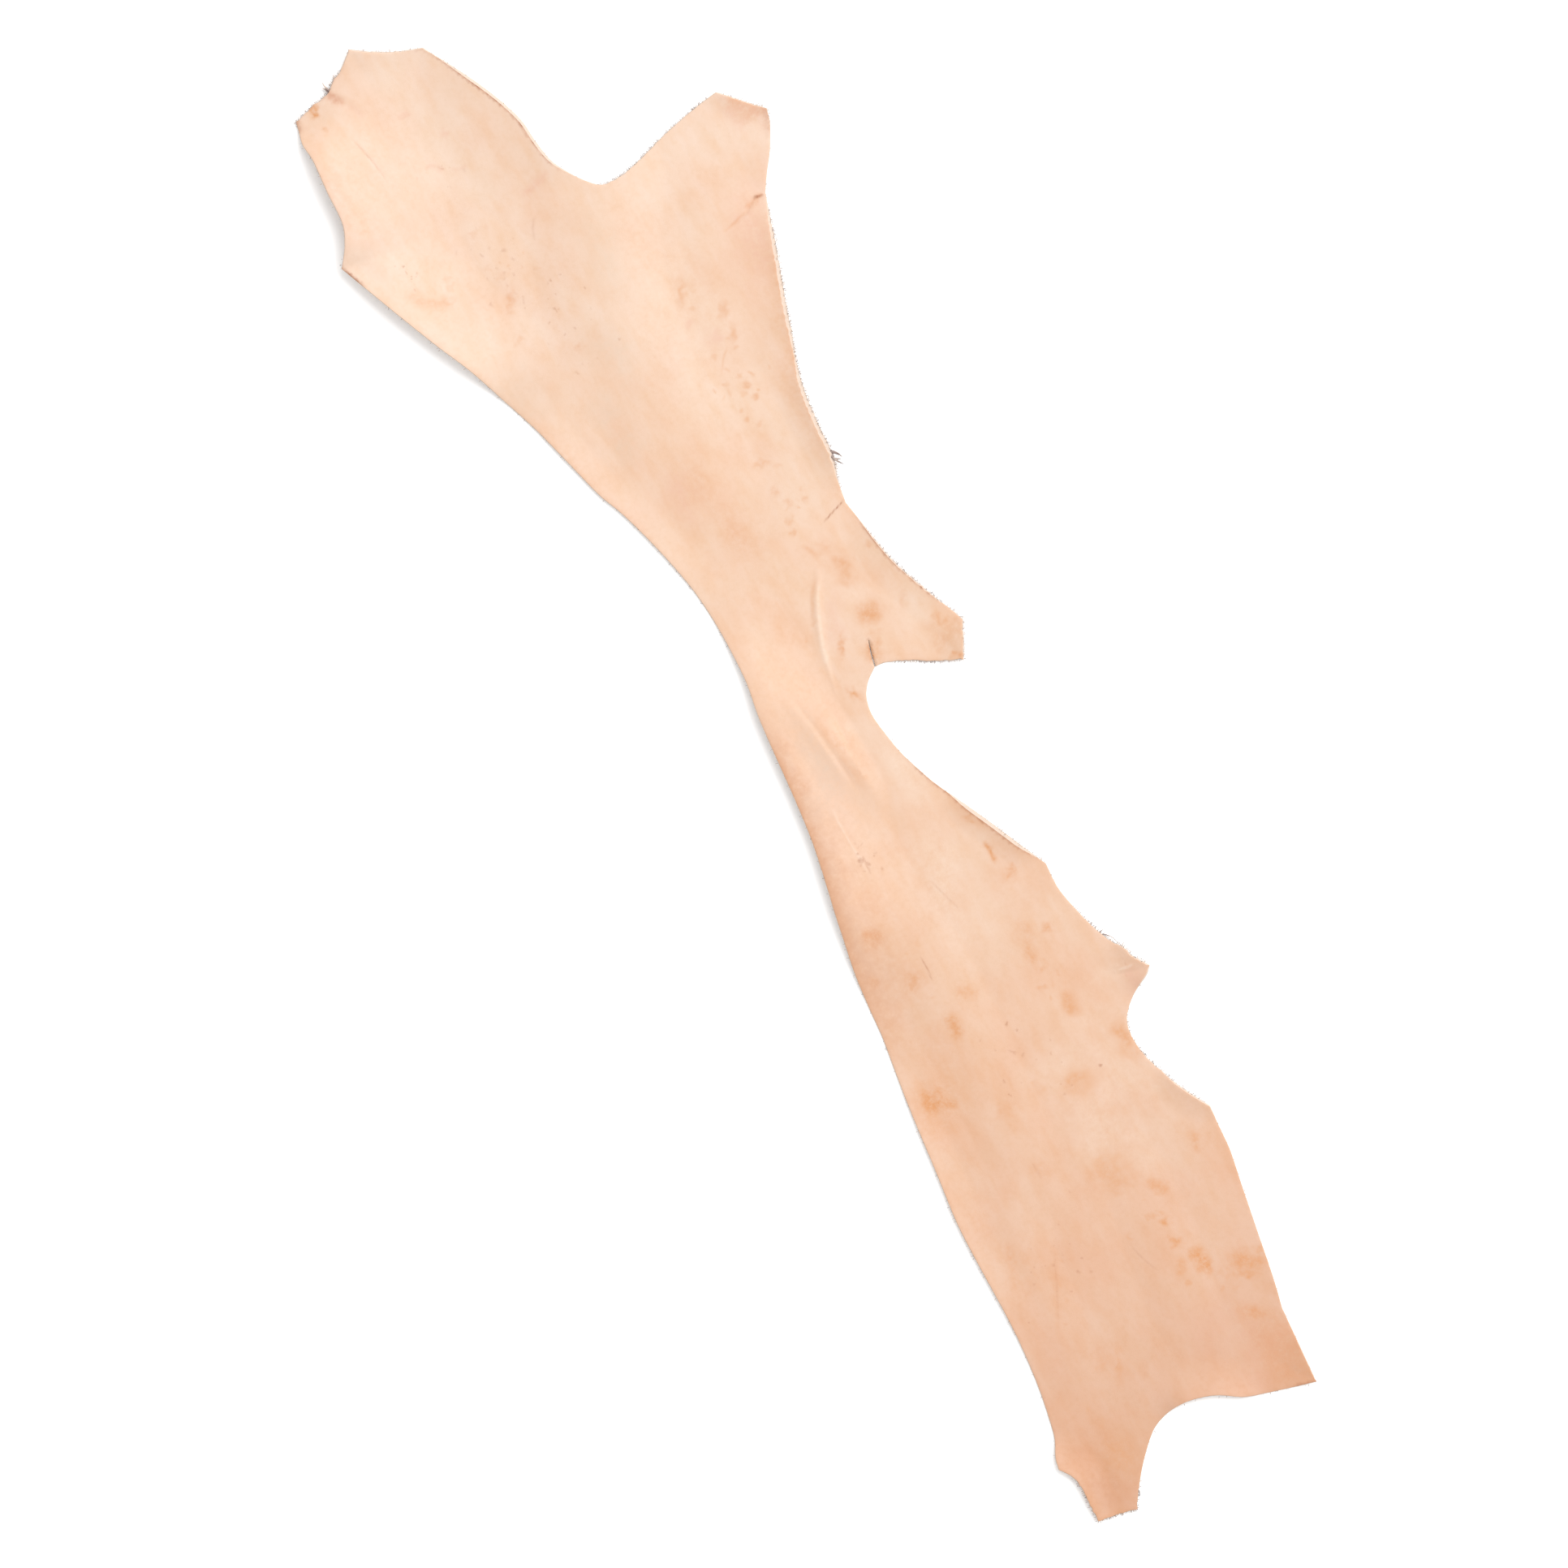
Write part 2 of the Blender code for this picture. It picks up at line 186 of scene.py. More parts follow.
# Soft folds that run across the hide. Each reaches width mm to either side of its crest, whose
# knots are (right, up, height) in mm. point is 0 for a round crest and 1 for a creased one.
Fold = namedtuple("Fold", "name width point knots")
FOLDS = [Fold(*row) for row in (
    ("ridge from the big notch", 88, 0.15, (
        (-238, 700, 5.5), (-241, 630, 5.5), (-227, 567, 5), (-202, 504, 4.5), (-171, 450, 4),
        (-135, 391, 3), (-103, 324, 2), (-85, 270, 0))),
    ("second lobe swell", 60, 0, (
        (-110, 740, 0), (-104, 660, 2), (-92, 560, 2), (-70, 480, 0))),
    ("pinched crease", 15, 0.5, ((8, 290, 0), (6, 237, 1.5), (9, 200, 1.5), (26, 133, 0))),
    ("waist fold, left side", 30, 0.3, (
        (-45, 160, 0), (-14, 112, 3.5), (26, 50, 3.5), (44, 10, 0))),
    ("waist fold, right side", 26, 0.5, (
        (-11, 150, 0), (24, 92, 3.2), (57, 40, 3.2), (83, -2, 0))),
    ("long swell", 62, 0.1, (
        (20, 40, 0), (76, -90, 2.4), (135, -180, 2.8), (180, -270, 2.4), (225, -360, 2),
        (285, -480, 0))),
    ("hind swell", 58, 0, ((330, -330, 0), (370, -430, 1.8), (420, -560, 1.8), (450, -620, 0))),
    ("tail swell", 50, 0.1, (
        (190, -390, 0), (230, -480, 1.8), (275, -580, 1.8), (310, -680, 0))),
)]

# Fine creases that only show close up: thin ridges, or grooves where the height is negative.
Crease = namedtuple("Crease", "name width height knots")
CREASES = [Crease(*row) for row in (
    ("top of the pinched crease", 2.4, 0.32, (
        (11, 279), (6, 237), (8, 202), (13.5, 175), (26, 133), (33, 100))),
    ("foot of the pinched crease", 2.0, -0.1, ((7, 270), (0, 237), (2, 200), (6, 180))),
    ("trough between the waist folds", 3.0, -0.45, (
        (-38, 144), (-15, 116), (10, 83), (35, 48), (60, 11))),
    ("swell left of that trough", 6.0, 0.5, ((-43, 140), (-20, 112), (5, 79), (30, 44), (55, 8))),
    ("swell right of that trough", 9.0, 0.4, ((-31, 150), (-8, 122), (17, 89), (42, 54), (67, 17))),
    ("second trough at the waist", 3.0, -0.5, ((23, 112), (36, 84), (50, 51))),
    ("neck of the second lobe", 1.8, -0.7, ((-52, 680), (-63, 680), (-74, 662), (-100, 640))),
    ("knot in that crease", 1.5, 0.6, ((-52, 685), (-58, 682), (-64, 684))),
    ("nick at the flap", 0.8, -0.3, ((40, 349), (27, 336), (11, 318))),
    ("torn corner, fold", 4.0, -0.35, ((-540, 797), (-528, 791), (-514, 782), (-496, 770))),
    ("neck, faint crease", 1.6, -0.25, ((-513, 749), (-484, 717), (-468, 694))),
    ("waist vein", 1.3, 0.2, ((18, 12), (28, -8), (37, -25), (68, -76))),
    ("small tip, first crease", 1.2, 0.2, ((330, -170), (344, -172), (360, -168))),
    ("small tip, second crease", 1.0, -0.15, ((336, -182), (350, -178), (364, -176))),
)]

CREASE_STEP = 3.0  # Distance in mm between points along a crease
CREASE_REACH = 3  # How far out a crease is worked out, in its own widths

# Places where the knife left the edge a little ragged. depth is in mm.
Ragged = namedtuple("Ragged", "name start end depth")
RAGGED = [Ragged(*row) for row in (
    ("torn corner", (-569, 758), (-521, 825), 1.3), ("wide end", (-513, 845), (-440, 845), 0.5),
    ("big notch", (-233, 695), (-150, 762), 0.6), ("second lobe end", (-106, 798), (-50, 780), 0.8),
    ("right edge", (-50, 690), (29, 369), 0.9), ("flap", (90, 279), (81, 165), 0.9),
    ("shoulder", (290, -105), (375, -170), 0.9), ("small notch", (352, -222), (414, -308), 0.6),
    ("tab", (363, -745), (289, -738), 0.8),
)]

PLAIN_RAGGED = 0.15  # Depth elsewhere, in mm
BITES = ((5, 0, 1), (2.2, 7, 0.6))  # The knife's bites: size in mm, layer of noise and strength
BITE_LEAN = 0.35  # How much of the depth always cuts inwards

# The edge's rings, from the flesh side's border up the cut face to the grain side's. Rows are the
# inset in mm, the share of the shown cut face, and the share of the thickness.
RINGS = (
    (0.35, 0.0, 0.0), (0.0, 0.0, 0.12), (0.0, 0.33, 0.38), (0.0, 0.68, 0.7), (0.0, 1.0, 0.86),
    (0.12, 1.0, 0.96), (0.5, 1.0, 1.0))
CUT_RINGS = 4  # How many strips between them, from the lowest, are cut leather
RING_WAVER = 0.64  # How far the rings between the borders waver in mm, over
WAVER_SIZE = 2.6  # patches this many mm long
SLIT_ROOM = 3  # Closer to the slit than this in mm, the rims slant less
SLIT_SLANT = 0.2  # Share of their slant that they keep there

FINE_STAIN = 5  # The grain's points are closer round stains whose short side is at most this, in mm
RIM_CLEAR = 0.45  # How far they stay off the border, as a share of their distance

# Tones of the grain between the tab's and the lobes', at shares of the hide's length
GRAIN_TONES = ((0.12, "rump"), (0.31, "loin"), (0.5, "body"))

# Mottling of the grain side, from clouds to specks. Each row lays a tint over the tone in patches
# this many mm wide, stretched along the hide, where a noise lies between start and full.
Mottle = namedtuple("Mottle", "tint patch stretch start full")
MOTTLES = [Mottle(*row) for row in (
    ("clouds", 120, 1.6, 0.42, 0.62),
    ("blush", 52, 1.3, 0.42, 0.66),
    ("olive", 26, 2.2, 0.42, 0.66),
    ("streaks", 15, 5.0, 0.42, 0.66),
    ("amber", 12, 2.0, 0.44, 0.68),
    ("specks", 5, 1.0, 0.46, 0.70),
)]

# Marks on the grain side. finish is one of FINISHES, places and sizes are in mm, turn is the
# direction of the long side in degrees anticlockwise from right, and strength goes up to 1.
FINISHES = ("tan", "rose", "ash", "pale", "scar")
Stain = namedtuple("Stain", "finish right up long wide turn strength")
STAINS = [Stain(*row) for row in (
    # Broad zones. The pale ones on the two lobes are painted light on slopes that face the key light, and
    # the small pale one at the neck corner is painted light laid over shade.
    ("pale", -430, 705, 110, 60, 120, 0.2), ("pale", -150, 560, 150, 45, 108, 0.25),
    ("pale", -498, 612, 34, 22, 0, 0.35), ("pale", 110, 210, 60, 40, 160, 0.15),
    ("pale", 38, 252, 60, 30, 125, 0.22), ("pale", 110, 45, 50, 22, 130, 0.3),
    ("pale", 325, -300, 120, 60, 110, 0.2), ("tan", 75, -160, 100, 34, 112, 0.25),
    ("tan", 145, -300, 90, 40, 112, 0.2), ("tan", 190, -440, 110, 26, 115, 0.15),
    ("tan", 255, -165, 60, 30, 120, 0.14), ("tan", 425, -490, 70, 40, 110, 0.12),
    # First lobe
    ("tan", -551, 777, 6.5, 4, 100, 0.95), ("tan", -538, 755, 3.2, 2, 110, 0.45),
    ("rose", -452, 773, 5, 4, 0, 0.5), ("rose", -423, 715, 6, 4, 0, 0.4),
    ("rose", -413, 711, 5, 4, 0, 0.4), ("rose", -394, 712, 5, 3, 0, 0.3),
    ("rose", -386, 715, 4, 3, 0, 0.35), ("rose", -406, 752, 4, 5, 0, 0.3),
    ("tan", -495, 639, 6, 4, 30, 0.2), ("tan", -376, 639, 5, 4, 0, 0.25),
    ("tan", -362, 647, 5, 3, 0, 0.2), ("tan", -360, 602, 5, 4, 0, 0.2),
    ("tan", -344, 594, 6, 4, 0, 0.25), ("tan", -404, 592, 5, 4, 0, 0.2),
    ("tan", -401, 580, 4, 4, 0, 0.2), ("tan", -335, 565, 14, 5, 80, 0.45),
    ("tan", -257, 514, 7, 4, 20, 0.25), ("tan", -324, 522, 7, 4, 60, 0.2),
    # Trough beside the long ridge: painted shade on the ridge's flank that turns away from the light
    ("ash", -228, 620, 50, 24, 110, 0.45), ("ash", -211, 512, 38, 26, 110, 0.4),
    ("ash", -229, 440, 24, 16, 90, 0.35), ("ash", -205, 406, 20, 14, 90, 0.35),
    # Second lobe
    ("tan", -145, 576, 16, 5, 92, 0.8), ("tan", -132, 558, 4, 3, 0, 0.4),
    ("rose", -134, 540, 6, 4, 40, 0.6), ("tan", -98, 556, 10, 5, 75, 0.6),
    ("rose", -108, 526, 8, 8, 0, 0.6), ("tan", -87, 531, 11, 5, 80, 0.5),
    ("tan", -93, 524, 4, 3, 0, 0.4), ("tan", -84, 515, 4, 3, 0, 0.45), ("tan", -107, 503, 3, 3, 0, 0.4),
    ("tan", -73, 474, 5, 4, 45, 0.55), ("tan", -62, 460, 4, 3, 0, 0.5),
    ("tan", -79, 445, 3, 3, 0, 0.45), ("tan", -71, 434, 4, 3, 60, 0.5),
    ("tan", -57, 429, 4, 3, 60, 0.3), ("rose", -66, 630, 56, 24, 80, 0.45),
    ("rose", -72, 775, 34, 12, -20, 0.4),
    # Towards the flap
    ("tan", -121, 364, 42, 17, 100, 0.28), ("tan", -82, 310, 42, 24, 120, 0.32),
    ("rose", -144, 353, 26, 14, 110, 0.35), ("tan", -56, 386, 9, 4, 0, 0.35),
    ("tan", -36, 384, 5, 3, 0, 0.2), ("tan", -43, 355, 9, 5, 100, 0.3),
    ("tan", -26, 321, 7, 4, 80, 0.3), ("tan", -20, 310, 4, 4, 0, 0.45), ("tan", 16, 291, 9, 7, 0, 0.3),
    ("tan", 62, 220, 13, 11, 35, 0.75), ("tan", 68, 198, 8, 5, 0, 0.25),
    ("rose", 28, 220, 34, 12, 95, 0.35), ("tan", 32, 183, 14, 4, 90, 0.65),
    ("tan", 47, 131, 10, 4.5, -45, 0.65), ("tan", 72, 180, 18, 6, 100, 0.5),
    ("tan", 63, 297, 4, 4, 0, 0.35), ("tan", 101, 235, 10, 4, 80, 0.3),
    ("tan", 142, 212, 15, 7, 110, 0.65), ("tan", 152, 194, 30, 22, 90, 0.45),
    ("tan", 163, 173, 9, 7, 0, 0.75),
    # Waist
    ("tan", -36, 64, 22, 10, 115, 0.52), ("tan", -12, 26, 26, 14, 115, 0.55),
    ("tan", 44, 70, 30, 12, 120, 0.3), ("ash", 10, 50, 80, 30, 122, 0.5),
    ("rose", 15, 45, 70, 34, 122, 0.3), ("pale", 150, -80, 60, 35, 122, 0.3),
    ("tan", 10, 50, 80, 30, 122, 0.15), ("tan", 30, 76, 12, 6, 120, 0.4),
    ("tan", 52, 42, 14, 5, 125, 0.4), ("tan", 176, -7, 8, 5, -30, 0.55),
    ("tan", 219, -69, 9, 6, 60, 0.68),
    # Body, upper half
    ("tan", 238, -133, 11, 12, 0, 0.45), ("tan", 259, -129, 9, 6, -20, 0.65),
    ("tan", 244, -160, 8, 18, 15, 0.5), ("tan", 256, -175, 8, 5, 30, 0.45),
    ("tan", 257, -195, 6, 4, 0, 0.52), ("tan", 287, -213, 13, 10, -60, 0.8),
    ("tan", 67, -140, 13, 10, 90, 0.83), ("tan", 64, -190, 16, 12, 100, 0.68),
    ("tan", 114, -189, 15, 11, 100, 0.55), ("tan", 172, -201, 12, 8, 0, 0.45),
    ("tan", 139, -324, 17, 15, 20, 0.9), ("tan", 139, -322, 34, 30, 20, 0.38),
    ("tan", 296, -300, 20, 13, 25, 0.75), ("scar", 319, -281, 2, 1.6, 0, 0.5),
    ("tan", 253, -305, 14, 8, 0, 0.33), ("scar", 216, -236, 1.6, 2.6, 0, 0.35),
    ("scar", 223, -266, 5, 1.2, -20, 0.35), ("tan", 346, -247, 14, 10, -50, 0.95),
    ("tan", 352, -262, 22, 10, -50, 0.52), ("pale", 325, -180, 26, 12, 20, 0.15),
    ("rose", 358, -186, 14, 10, 60, 0.5), ("pale", 381, -311, 16, 10, 0, 0.15),
    # Body, lower half
    ("tan", 440, -360, 40, 25, 110, 0.2), ("rose", 490, -590, 60, 40, 100, 0.3),
    ("tan", 214, -330, 14, 8, 60, 0.3), ("tan", 334, -332, 16, 8, 0, 0.3),
    ("tan", 427, -364, 14, 10, 90, 0.52), ("tan", 254, -397, 14, 10, 0, 0.3),
    ("tan", 392, -456, 7, 5, -20, 0.95), ("tan", 403, -476, 9, 5, 150, 0.9),
    ("tan", 408, -503, 10, 10, 0, 0.6), ("tan", 418, -523, 4, 4, 0, 0.6),
    ("tan", 483, -497, 26, 9, 0, 0.7), ("tan", 482, -511, 16, 5, 0, 0.6),
    ("tan", 320, -610, 16, 7, 90, 0.3), ("tan", 340, -612, 20, 4, 95, 0.38),
    ("tan", 490, -556, 18, 9, 10, 0.75), ("rose", 518, -598, 40, 28, -60, 0.3),
    ("tan", 524, -604, 44, 30, -60, 0.6), ("scar", 515, -585, 60, 45, -60, 0.07),
    ("tan", 497, -484, 8, 5, 0, 0.6), ("tan", 340, -715, 30, 40, 80, 0.38),
    ("scar", 310, -745, 34, 28, 60, 0.08),
)]

# Marks that follow a line, on knots in mm. width is how far the mark reaches to either side.
Streak = namedtuple("Streak", "finish width strength knots")
STREAKS = [Streak(*row) for row in (
    ("tan", 7, 0.35, ((-454, 584), (-439, 567), (-412, 562), (-386, 570))),
    # Painted shade on the side of the waist fold's step that turns away from the light
    ("tan", 5.0, 0.4, ((-8, 118), (16.5, 85), (41.5, 50), (66.5, 13))),
    # Painted shade in the fold at the torn corner
    ("scar", 3.8, 0.2, ((-541, 797), (-528, 790), (-517, 784))),
    ("rose", 4.2, 0.55, ((-541, 797), (-528, 790), (-515, 783))),
    ("tan", 4.2, 0.45, ((-541, 797), (-528, 790), (-515, 783))),
    ("rose", 5.0, 0.3, ((-517, 784), (-508, 779), (-494, 768))),
    ("scar", 1.0, 0.2, ((-513, 749), (-484, 717), (-468, 694))),
    ("rose", 4.0, 0.4, ((-324, 680), (-309, 693), (-288, 711))),
    ("scar", 1.3, 0.14, ((-307, 662), (-309, 646), (-306, 630))),
    ("tan", 1.2, 0.4, ((-92, 518), (-97, 505), (-100, 483))),
    ("tan", 1.2, 0.35, ((-94, 471), (-91, 464), (-89, 458))),
    ("scar", 1.6, 0.6, ((-51, 684), (-60, 682), (-66, 679))),
    ("tan", 4.0, 0.5, ((-50, 688), (-60, 681), (-74, 664))),
    ("tan", 1.6, 0.35, ((-66, 674), (-80, 658), (-100, 640))),
    ("tan", 3.0, 0.4, ((-12, 297), (-2, 290), (11, 280))),
    ("tan", 10.0, 0.65, ((29, 292), (35, 268), (41, 243))),
    # Painted shade on the pinched crease's flank away from the light; the pale line on its crest is partly
    # stretched grain, partly painted highlight
    ("tan", 2.2, 0.35, ((5, 268), (1, 237), (2, 203))),
    ("pale", 3.0, 0.4, ((11, 279), (7, 237), (9, 202), (14.5, 175), (27, 133))),
    ("scar", 0.7, 0.6, ((40, 349), (27, 336), (11, 318))),
    ("tan", 3.0, 0.3, ((9, 99), (30, 60), (54, 18))),
    ("pale", 1.3, 0.35, ((18, 12), (37, -25), (68, -76))),
    ("scar", 1.2, 0.35, ((57, -50), (62, -61), (67, -71))),
    ("scar", 0.8, 0.2, ((129, -73), (147, -92), (168, -112))),
    ("scar", 0.8, 0.15, ((243, -387), (250, -398), (256, -409))),
    ("tan", 3.2, 0.8, ((189, -29), (197, -42), (207, -59))),
    ("tan", 7.0, 0.8, ((151, -221), (158, -237), (164, -256))),
    ("tan", 6.0, 0.6, ((236, -136), (240, -155), (252, -172))),
    ("scar", 0.8, 0.35, ((119, -158), (127, -172), (135, -190))),
    ("tan", 18.0, 0.55, ((308, -378), (330, -400), (352, -428))),
    ("tan", 6.0, 0.7, ((371, -405), (384, -416), (398, -423))),
    ("tan", 9.0, 0.95, ((418, -478), (431, -497), (440, -506), (449, -504))),
    ("scar", 0.9, 0.18, ((352, -479), (368, -496), (387, -511))),
    ("tan", 7.0, 0.3, ((214, -465), (222, -505), (230, -547))),
    ("tan", 5.0, 0.2, ((270, -476), (271, -530), (273, -581))),
    ("scar", 0.9, 0.1, ((268, -476), (272, -530), (274, -581))),
    ("pale", 1.4, 0.45, ((336, -176), (350, -172), (358, -168))),
)]

# Clusters of small marks: count of them, each up to size mm long, within about spread mm.
Cluster = namedtuple("Cluster", "finish right up spread count size strength")
CLUSTERS = [Cluster(*row) for row in (
    ("scar", -410, 712, 26, 9, 2.8, 0.2), ("scar", -345, 598, 42, 24, 2.8, 0.22),
    ("scar", -445, 596, 20, 8, 2.4, 0.3), ("scar", -285, 575, 36, 16, 2.2, 0.3),
    ("tan", -330, 590, 50, 10, 3.0, 0.25), ("scar", -255, 520, 40, 12, 2.2, 0.3),
    ("tan", -80, 480, 30, 12, 4.0, 0.45), ("tan", -25, 345, 26, 8, 5.0, 0.35),
    ("tan", 5, 190, 26, 7, 5.0, 0.3), ("scar", 57, -55, 20, 16, 3.0, 0.4),
    ("tan", 95, -175, 45, 14, 7.0, 0.35), ("tan", 268, -190, 28, 10, 6.0, 0.4),
    ("scar", 345, -175, 14, 6, 2.2, 0.12), ("scar", 245, -290, 70, 18, 2.2, 0.3),
    ("tan", 380, -440, 40, 12, 6.0, 0.35), ("tan", 470, -505, 26, 12, 6.0, 0.4),
    ("scar", 270, -520, 60, 18, 2.4, 0.3), ("tan", 250, -540, 60, 14, 8.0, 0.25),
    ("tan", 335, -690, 34, 10, 8.0, 0.3),
)]
CLUSTER_SEED = 11
NOISE_SEED = 4
CLUSTER_TURN = 35  # How far in degrees a cluster's marks stray from the hide's length

# Marks that follow the edge, from one (right, up) place on the outline clockwise to another.
RimStain = namedtuple("RimStain", "finish start end width strength")
RIM_STAINS = [RimStain(*row) for row in (
    ("scar", (-569, 750), (-566, 772), 5, 0.5), ("scar", (-470, 843), (-240, 697), 0.7, 0.95),
    ("scar", (-496, 581), (-518, 612), 1.6, 0.8), ("scar", (-560, 735), (-513, 845), 0.8, 0.25),
    # The scar rim at the slit is painted shadow of its narrow gap
    ("scar", (76, 166), (70, 160), 0.5, 0.3), ("scar", (555, -620), (535, -638), 1.5, 0.5),
    ("tan", (-106, 798), (-46, 765), 14, 0.45), ("scar", (-62, 784), (-46, 750), 5, 0.25),
    ("tan", (26, 385), (54, 323), 10, 0.2), ("tan", (150, 228), (90, 165), 4, 0.3),
    # The tan rim along the slit is painted shadow of its narrow gap
    ("tan", (72, 162), (64, 190), 4, 0.7), ("tan", (90, 75), (275, -80), 8, 0.25),
    ("scar", (80, 95), (270, -70), 0.8, 0.7), ("scar", (36, 346), (164, 219), 1.2, 0.7),
    ("scar", (-50, 690), (29, 369), 1.2, 0.08), ("tan", (351, -236), (369, -269), 8, 0.5),
    ("tan", (361, -765), (290, -738), 6, 0.3), ("tan", (268, -690), (90, -282), 4, 0.12),
    # The first three tan rims along the waist edge of the long cut are its real orange rim stain, made
    # deeper as painted shade where the lifted edge would otherwise catch the light
    ("tan", (110, -340), (-70, 135), 30, 0.4), ("tan", (85, -270), (-70, 135), 12, 0.85),
    ("tan", (40, -160), (-62, 122), 9, 0.95), ("tan", (-51, 690), (38, 343), 14, 0.25),
    ("tan", (-120, 228), (-520, 600), 6, 0.25), ("tan", (-240, 352), (-330, 445), 12, 0.25),
    # Painted shade along the lifted edges of the long cut and the neck side, which the curl would
    # otherwise light up: the grey-beige, rose and scar rims, and the faint tan at the neck
    ("ash", (100, -300), (-100, 200), 36, 0.2), ("rose", (100, -300), (-90, 190), 36, 0.25),
    ("rose", (-505, 600), (-560, 740), 60, 0.15), ("ash", (-260, 370), (-500, 590), 40, 0.3),
    ("scar", (110, -320), (-70, 140), 30, 0.09), ("tan", (-505, 600), (-560, 740), 30, 0.12),
)]

WOBBLES = (6, 18, 50)  # Sizes in mm of the noises that break up marks: fine, at rims, and broad
STAIN_REACH = 2.2  # How far out a stain is worked out, in its own lengths
STREAK_REACH = 2.5  # The same for streaks and rims, in their own widths
STREAK_STEP = 5.0  # Distance in mm between points along a streak
WIDEST_CUT = 5  # More than the cut face shows anywhere, in mm

# Shreds that hang from torn places: root and tip in mm, width at the root, and how far the
# middle bows sideways and up.
Shred = namedtuple("Shred", "name root tip width bow rise")
SHREDS = [Shred(*row) for row in (
    ("torn corner, long", (-533, 799), (-543, 809), 3.2, 1.5, 2.0),
    ("torn corner, curl", (-527, 812), (-531, 818), 1.8, 1.2, 1.5),
    ("torn corner, short", (-536, 797), (-543, 802), 3.2, -1.0, 1.6),
    ("torn corner, thread", (-531, 806), (-540, 813), 0.5, 1.6, 4.0),
    ("right edge tuft, upper", (22, 398), (34, 393), 4.0, 1.6, 2.0),
    ("right edge tuft, middle", (23, 394), (36, 385), 3.0, -1.2, 2.5),
    ("right edge tuft, lower", (25, 389), (33, 391), 3.0, 1.0, 1.5),
    ("shoulder thread, first", (318, -137), (326, -129), 1.2, 1.2, 2.0),
    ("shoulder thread, second", (324, -137), (340, -146), 1.0, 2.6, 1.6),
    ("shoulder thread, third", (344, -150), (348, -142), 1.0, 0.8, 1.6),
    ("tab, frayed bit", (361, -752), (364, -759), 1.6, 1.0, 1.5),
)]
SHRED_HOLD = 2.5  # How far inside the sheet a shred starts, in mm
SHRED_RISE = 1.0  # How far above the underside it starts, in mm
SHRED_CLEAR = 0.2  # The least that it keeps off the surface, in mm
SHRED_STEPS = 7  # Places along it
SHRED_TIP = 0.12  # Half the width of its tip, in mm
SHRED_TAPER = 0.7  # Power by which it narrows
SHRED_CURL = 0.5  # How far its sides curl up and down at the tip, in widths
SHRED_SECTION = ((-1, -0.3), (1, -0.2), (1, 0.3), (-1, 0.2))  # Its corners: side, and mm up

# Where fibres stand out of the cut edge. amount is the share of the places that carry one.
Fuzz = namedtuple("Fuzz", "name start end amount")
FUZZ = [Fuzz(*row) for row in (
    ("torn corner", (-572, 760), (-521, 825), 1.0), ("wide end", (-521, 825), (-431, 847), 0.5),
    ("big notch", (-240, 697), (-106, 798), 0.8), ("second lobe end", (-106, 798), (-46, 760), 0.7),
    ("right edge", (-51, 690), (38, 343), 1.0), ("flap", (54, 323), (81, 165), 0.9),
    ("armpit, lower", (198, -11), (262, -59), 0.6), ("shoulder", (290, -105), (375, -170), 0.8),
    ("small notch", (352, -222), (442, -326), 0.7), ("tab", (364, -745), (289, -738), 0.8),
)]
PLAIN_FUZZ = 0.06  # Amount elsewhere
FIBRE_RISE = 1.0  # How far above the underside the fibres grow out of the edge, in mm
FIBRE_SCATTER = (0.7, 0.7, 0.3)  # How far their roots stray either way, in mm
FIBRE_TILT = 0.15  # How steeply they point up
FIBRE_STRAY = ((-0.9, -0.9, 0.0), (0.9, 0.9, 0.7))  # How far that direction strays
FIBRE_PATH = ((0, 0, 0), (0.3, 0, 0.55), (-0.1, 0.1, 1))  # The bend of a fibre of length 1
FIBRE_BENDS = 4  # Steps along it
FIBRE_SIDES = 3
FIBRE_TIP = 0.25  # Width of its tip, as a share of its root
FIBRE_SHORTEST = 0.35  # The shortest, as a share of the longest
# Inputs of the fibres' node tree: name, kind of socket, and the size that sets it
FIBRE_INPUTS = (
    ("Gap", "NodeSocketFloat", "fibre_gap"),
    ("Length", "NodeSocketFloat", "fibre_length"),
    ("Width", "NodeSocketFloat", "fibre_width"),
    ("Seed", "NodeSocketInt", "seed"),
)


def linear(code):
    """An sRGB hex code as linear red, green, blue and 1."""
    shares = [int(code[i:i + 2], 16) / 255 for i in (0, 2, 4)]
    return (*(s / 12.92 if s <= 0.04045 else ((s + 0.055) / 1.055) ** 2.4 for s in shares), 1.0)


def colour(name, about, code):
    """A colour property with an sRGB hex code as its default."""
    return FloatVectorProperty(
        name=name, description=about, subtype="COLOR", size=4, min=0, max=1, default=linear(code))


def length(name, about, millimetres):
    """A length property whose default is given in millimetres."""
    return FloatProperty(name=name, description=about, default=millimetres * MM, unit="LENGTH")


class HideSizes(PropertyGroup):
    """Sizes of the hide and its edge."""

    thickness: length("Thickness", "Thickness of the leather", 3.0)
    edge_step: length("Edge step", "Distance between points along the cut edge", 1.8)
    grain_step: length("Grain step", "Distance between points on the grain side", 3.3)
    flesh_step: length("Flesh step", "Distance between points on the flesh side", 11.0)
    detail_band: length("Detail band", "How far round a fine mark the points are closer", 3.5)
    fibre_length: length("Fibre length", "Longest loose fibre at the cut edge", 2.8)
    fibre_width: length("Fibre width", "Width of a loose bundle of fibres", 0.6)
    fibre_gap: length("Fibre gap", "Distance between fibres along the edge", 0.7)
    seed: IntProperty(name="Seed", description="Seed for the fibres", default=4)


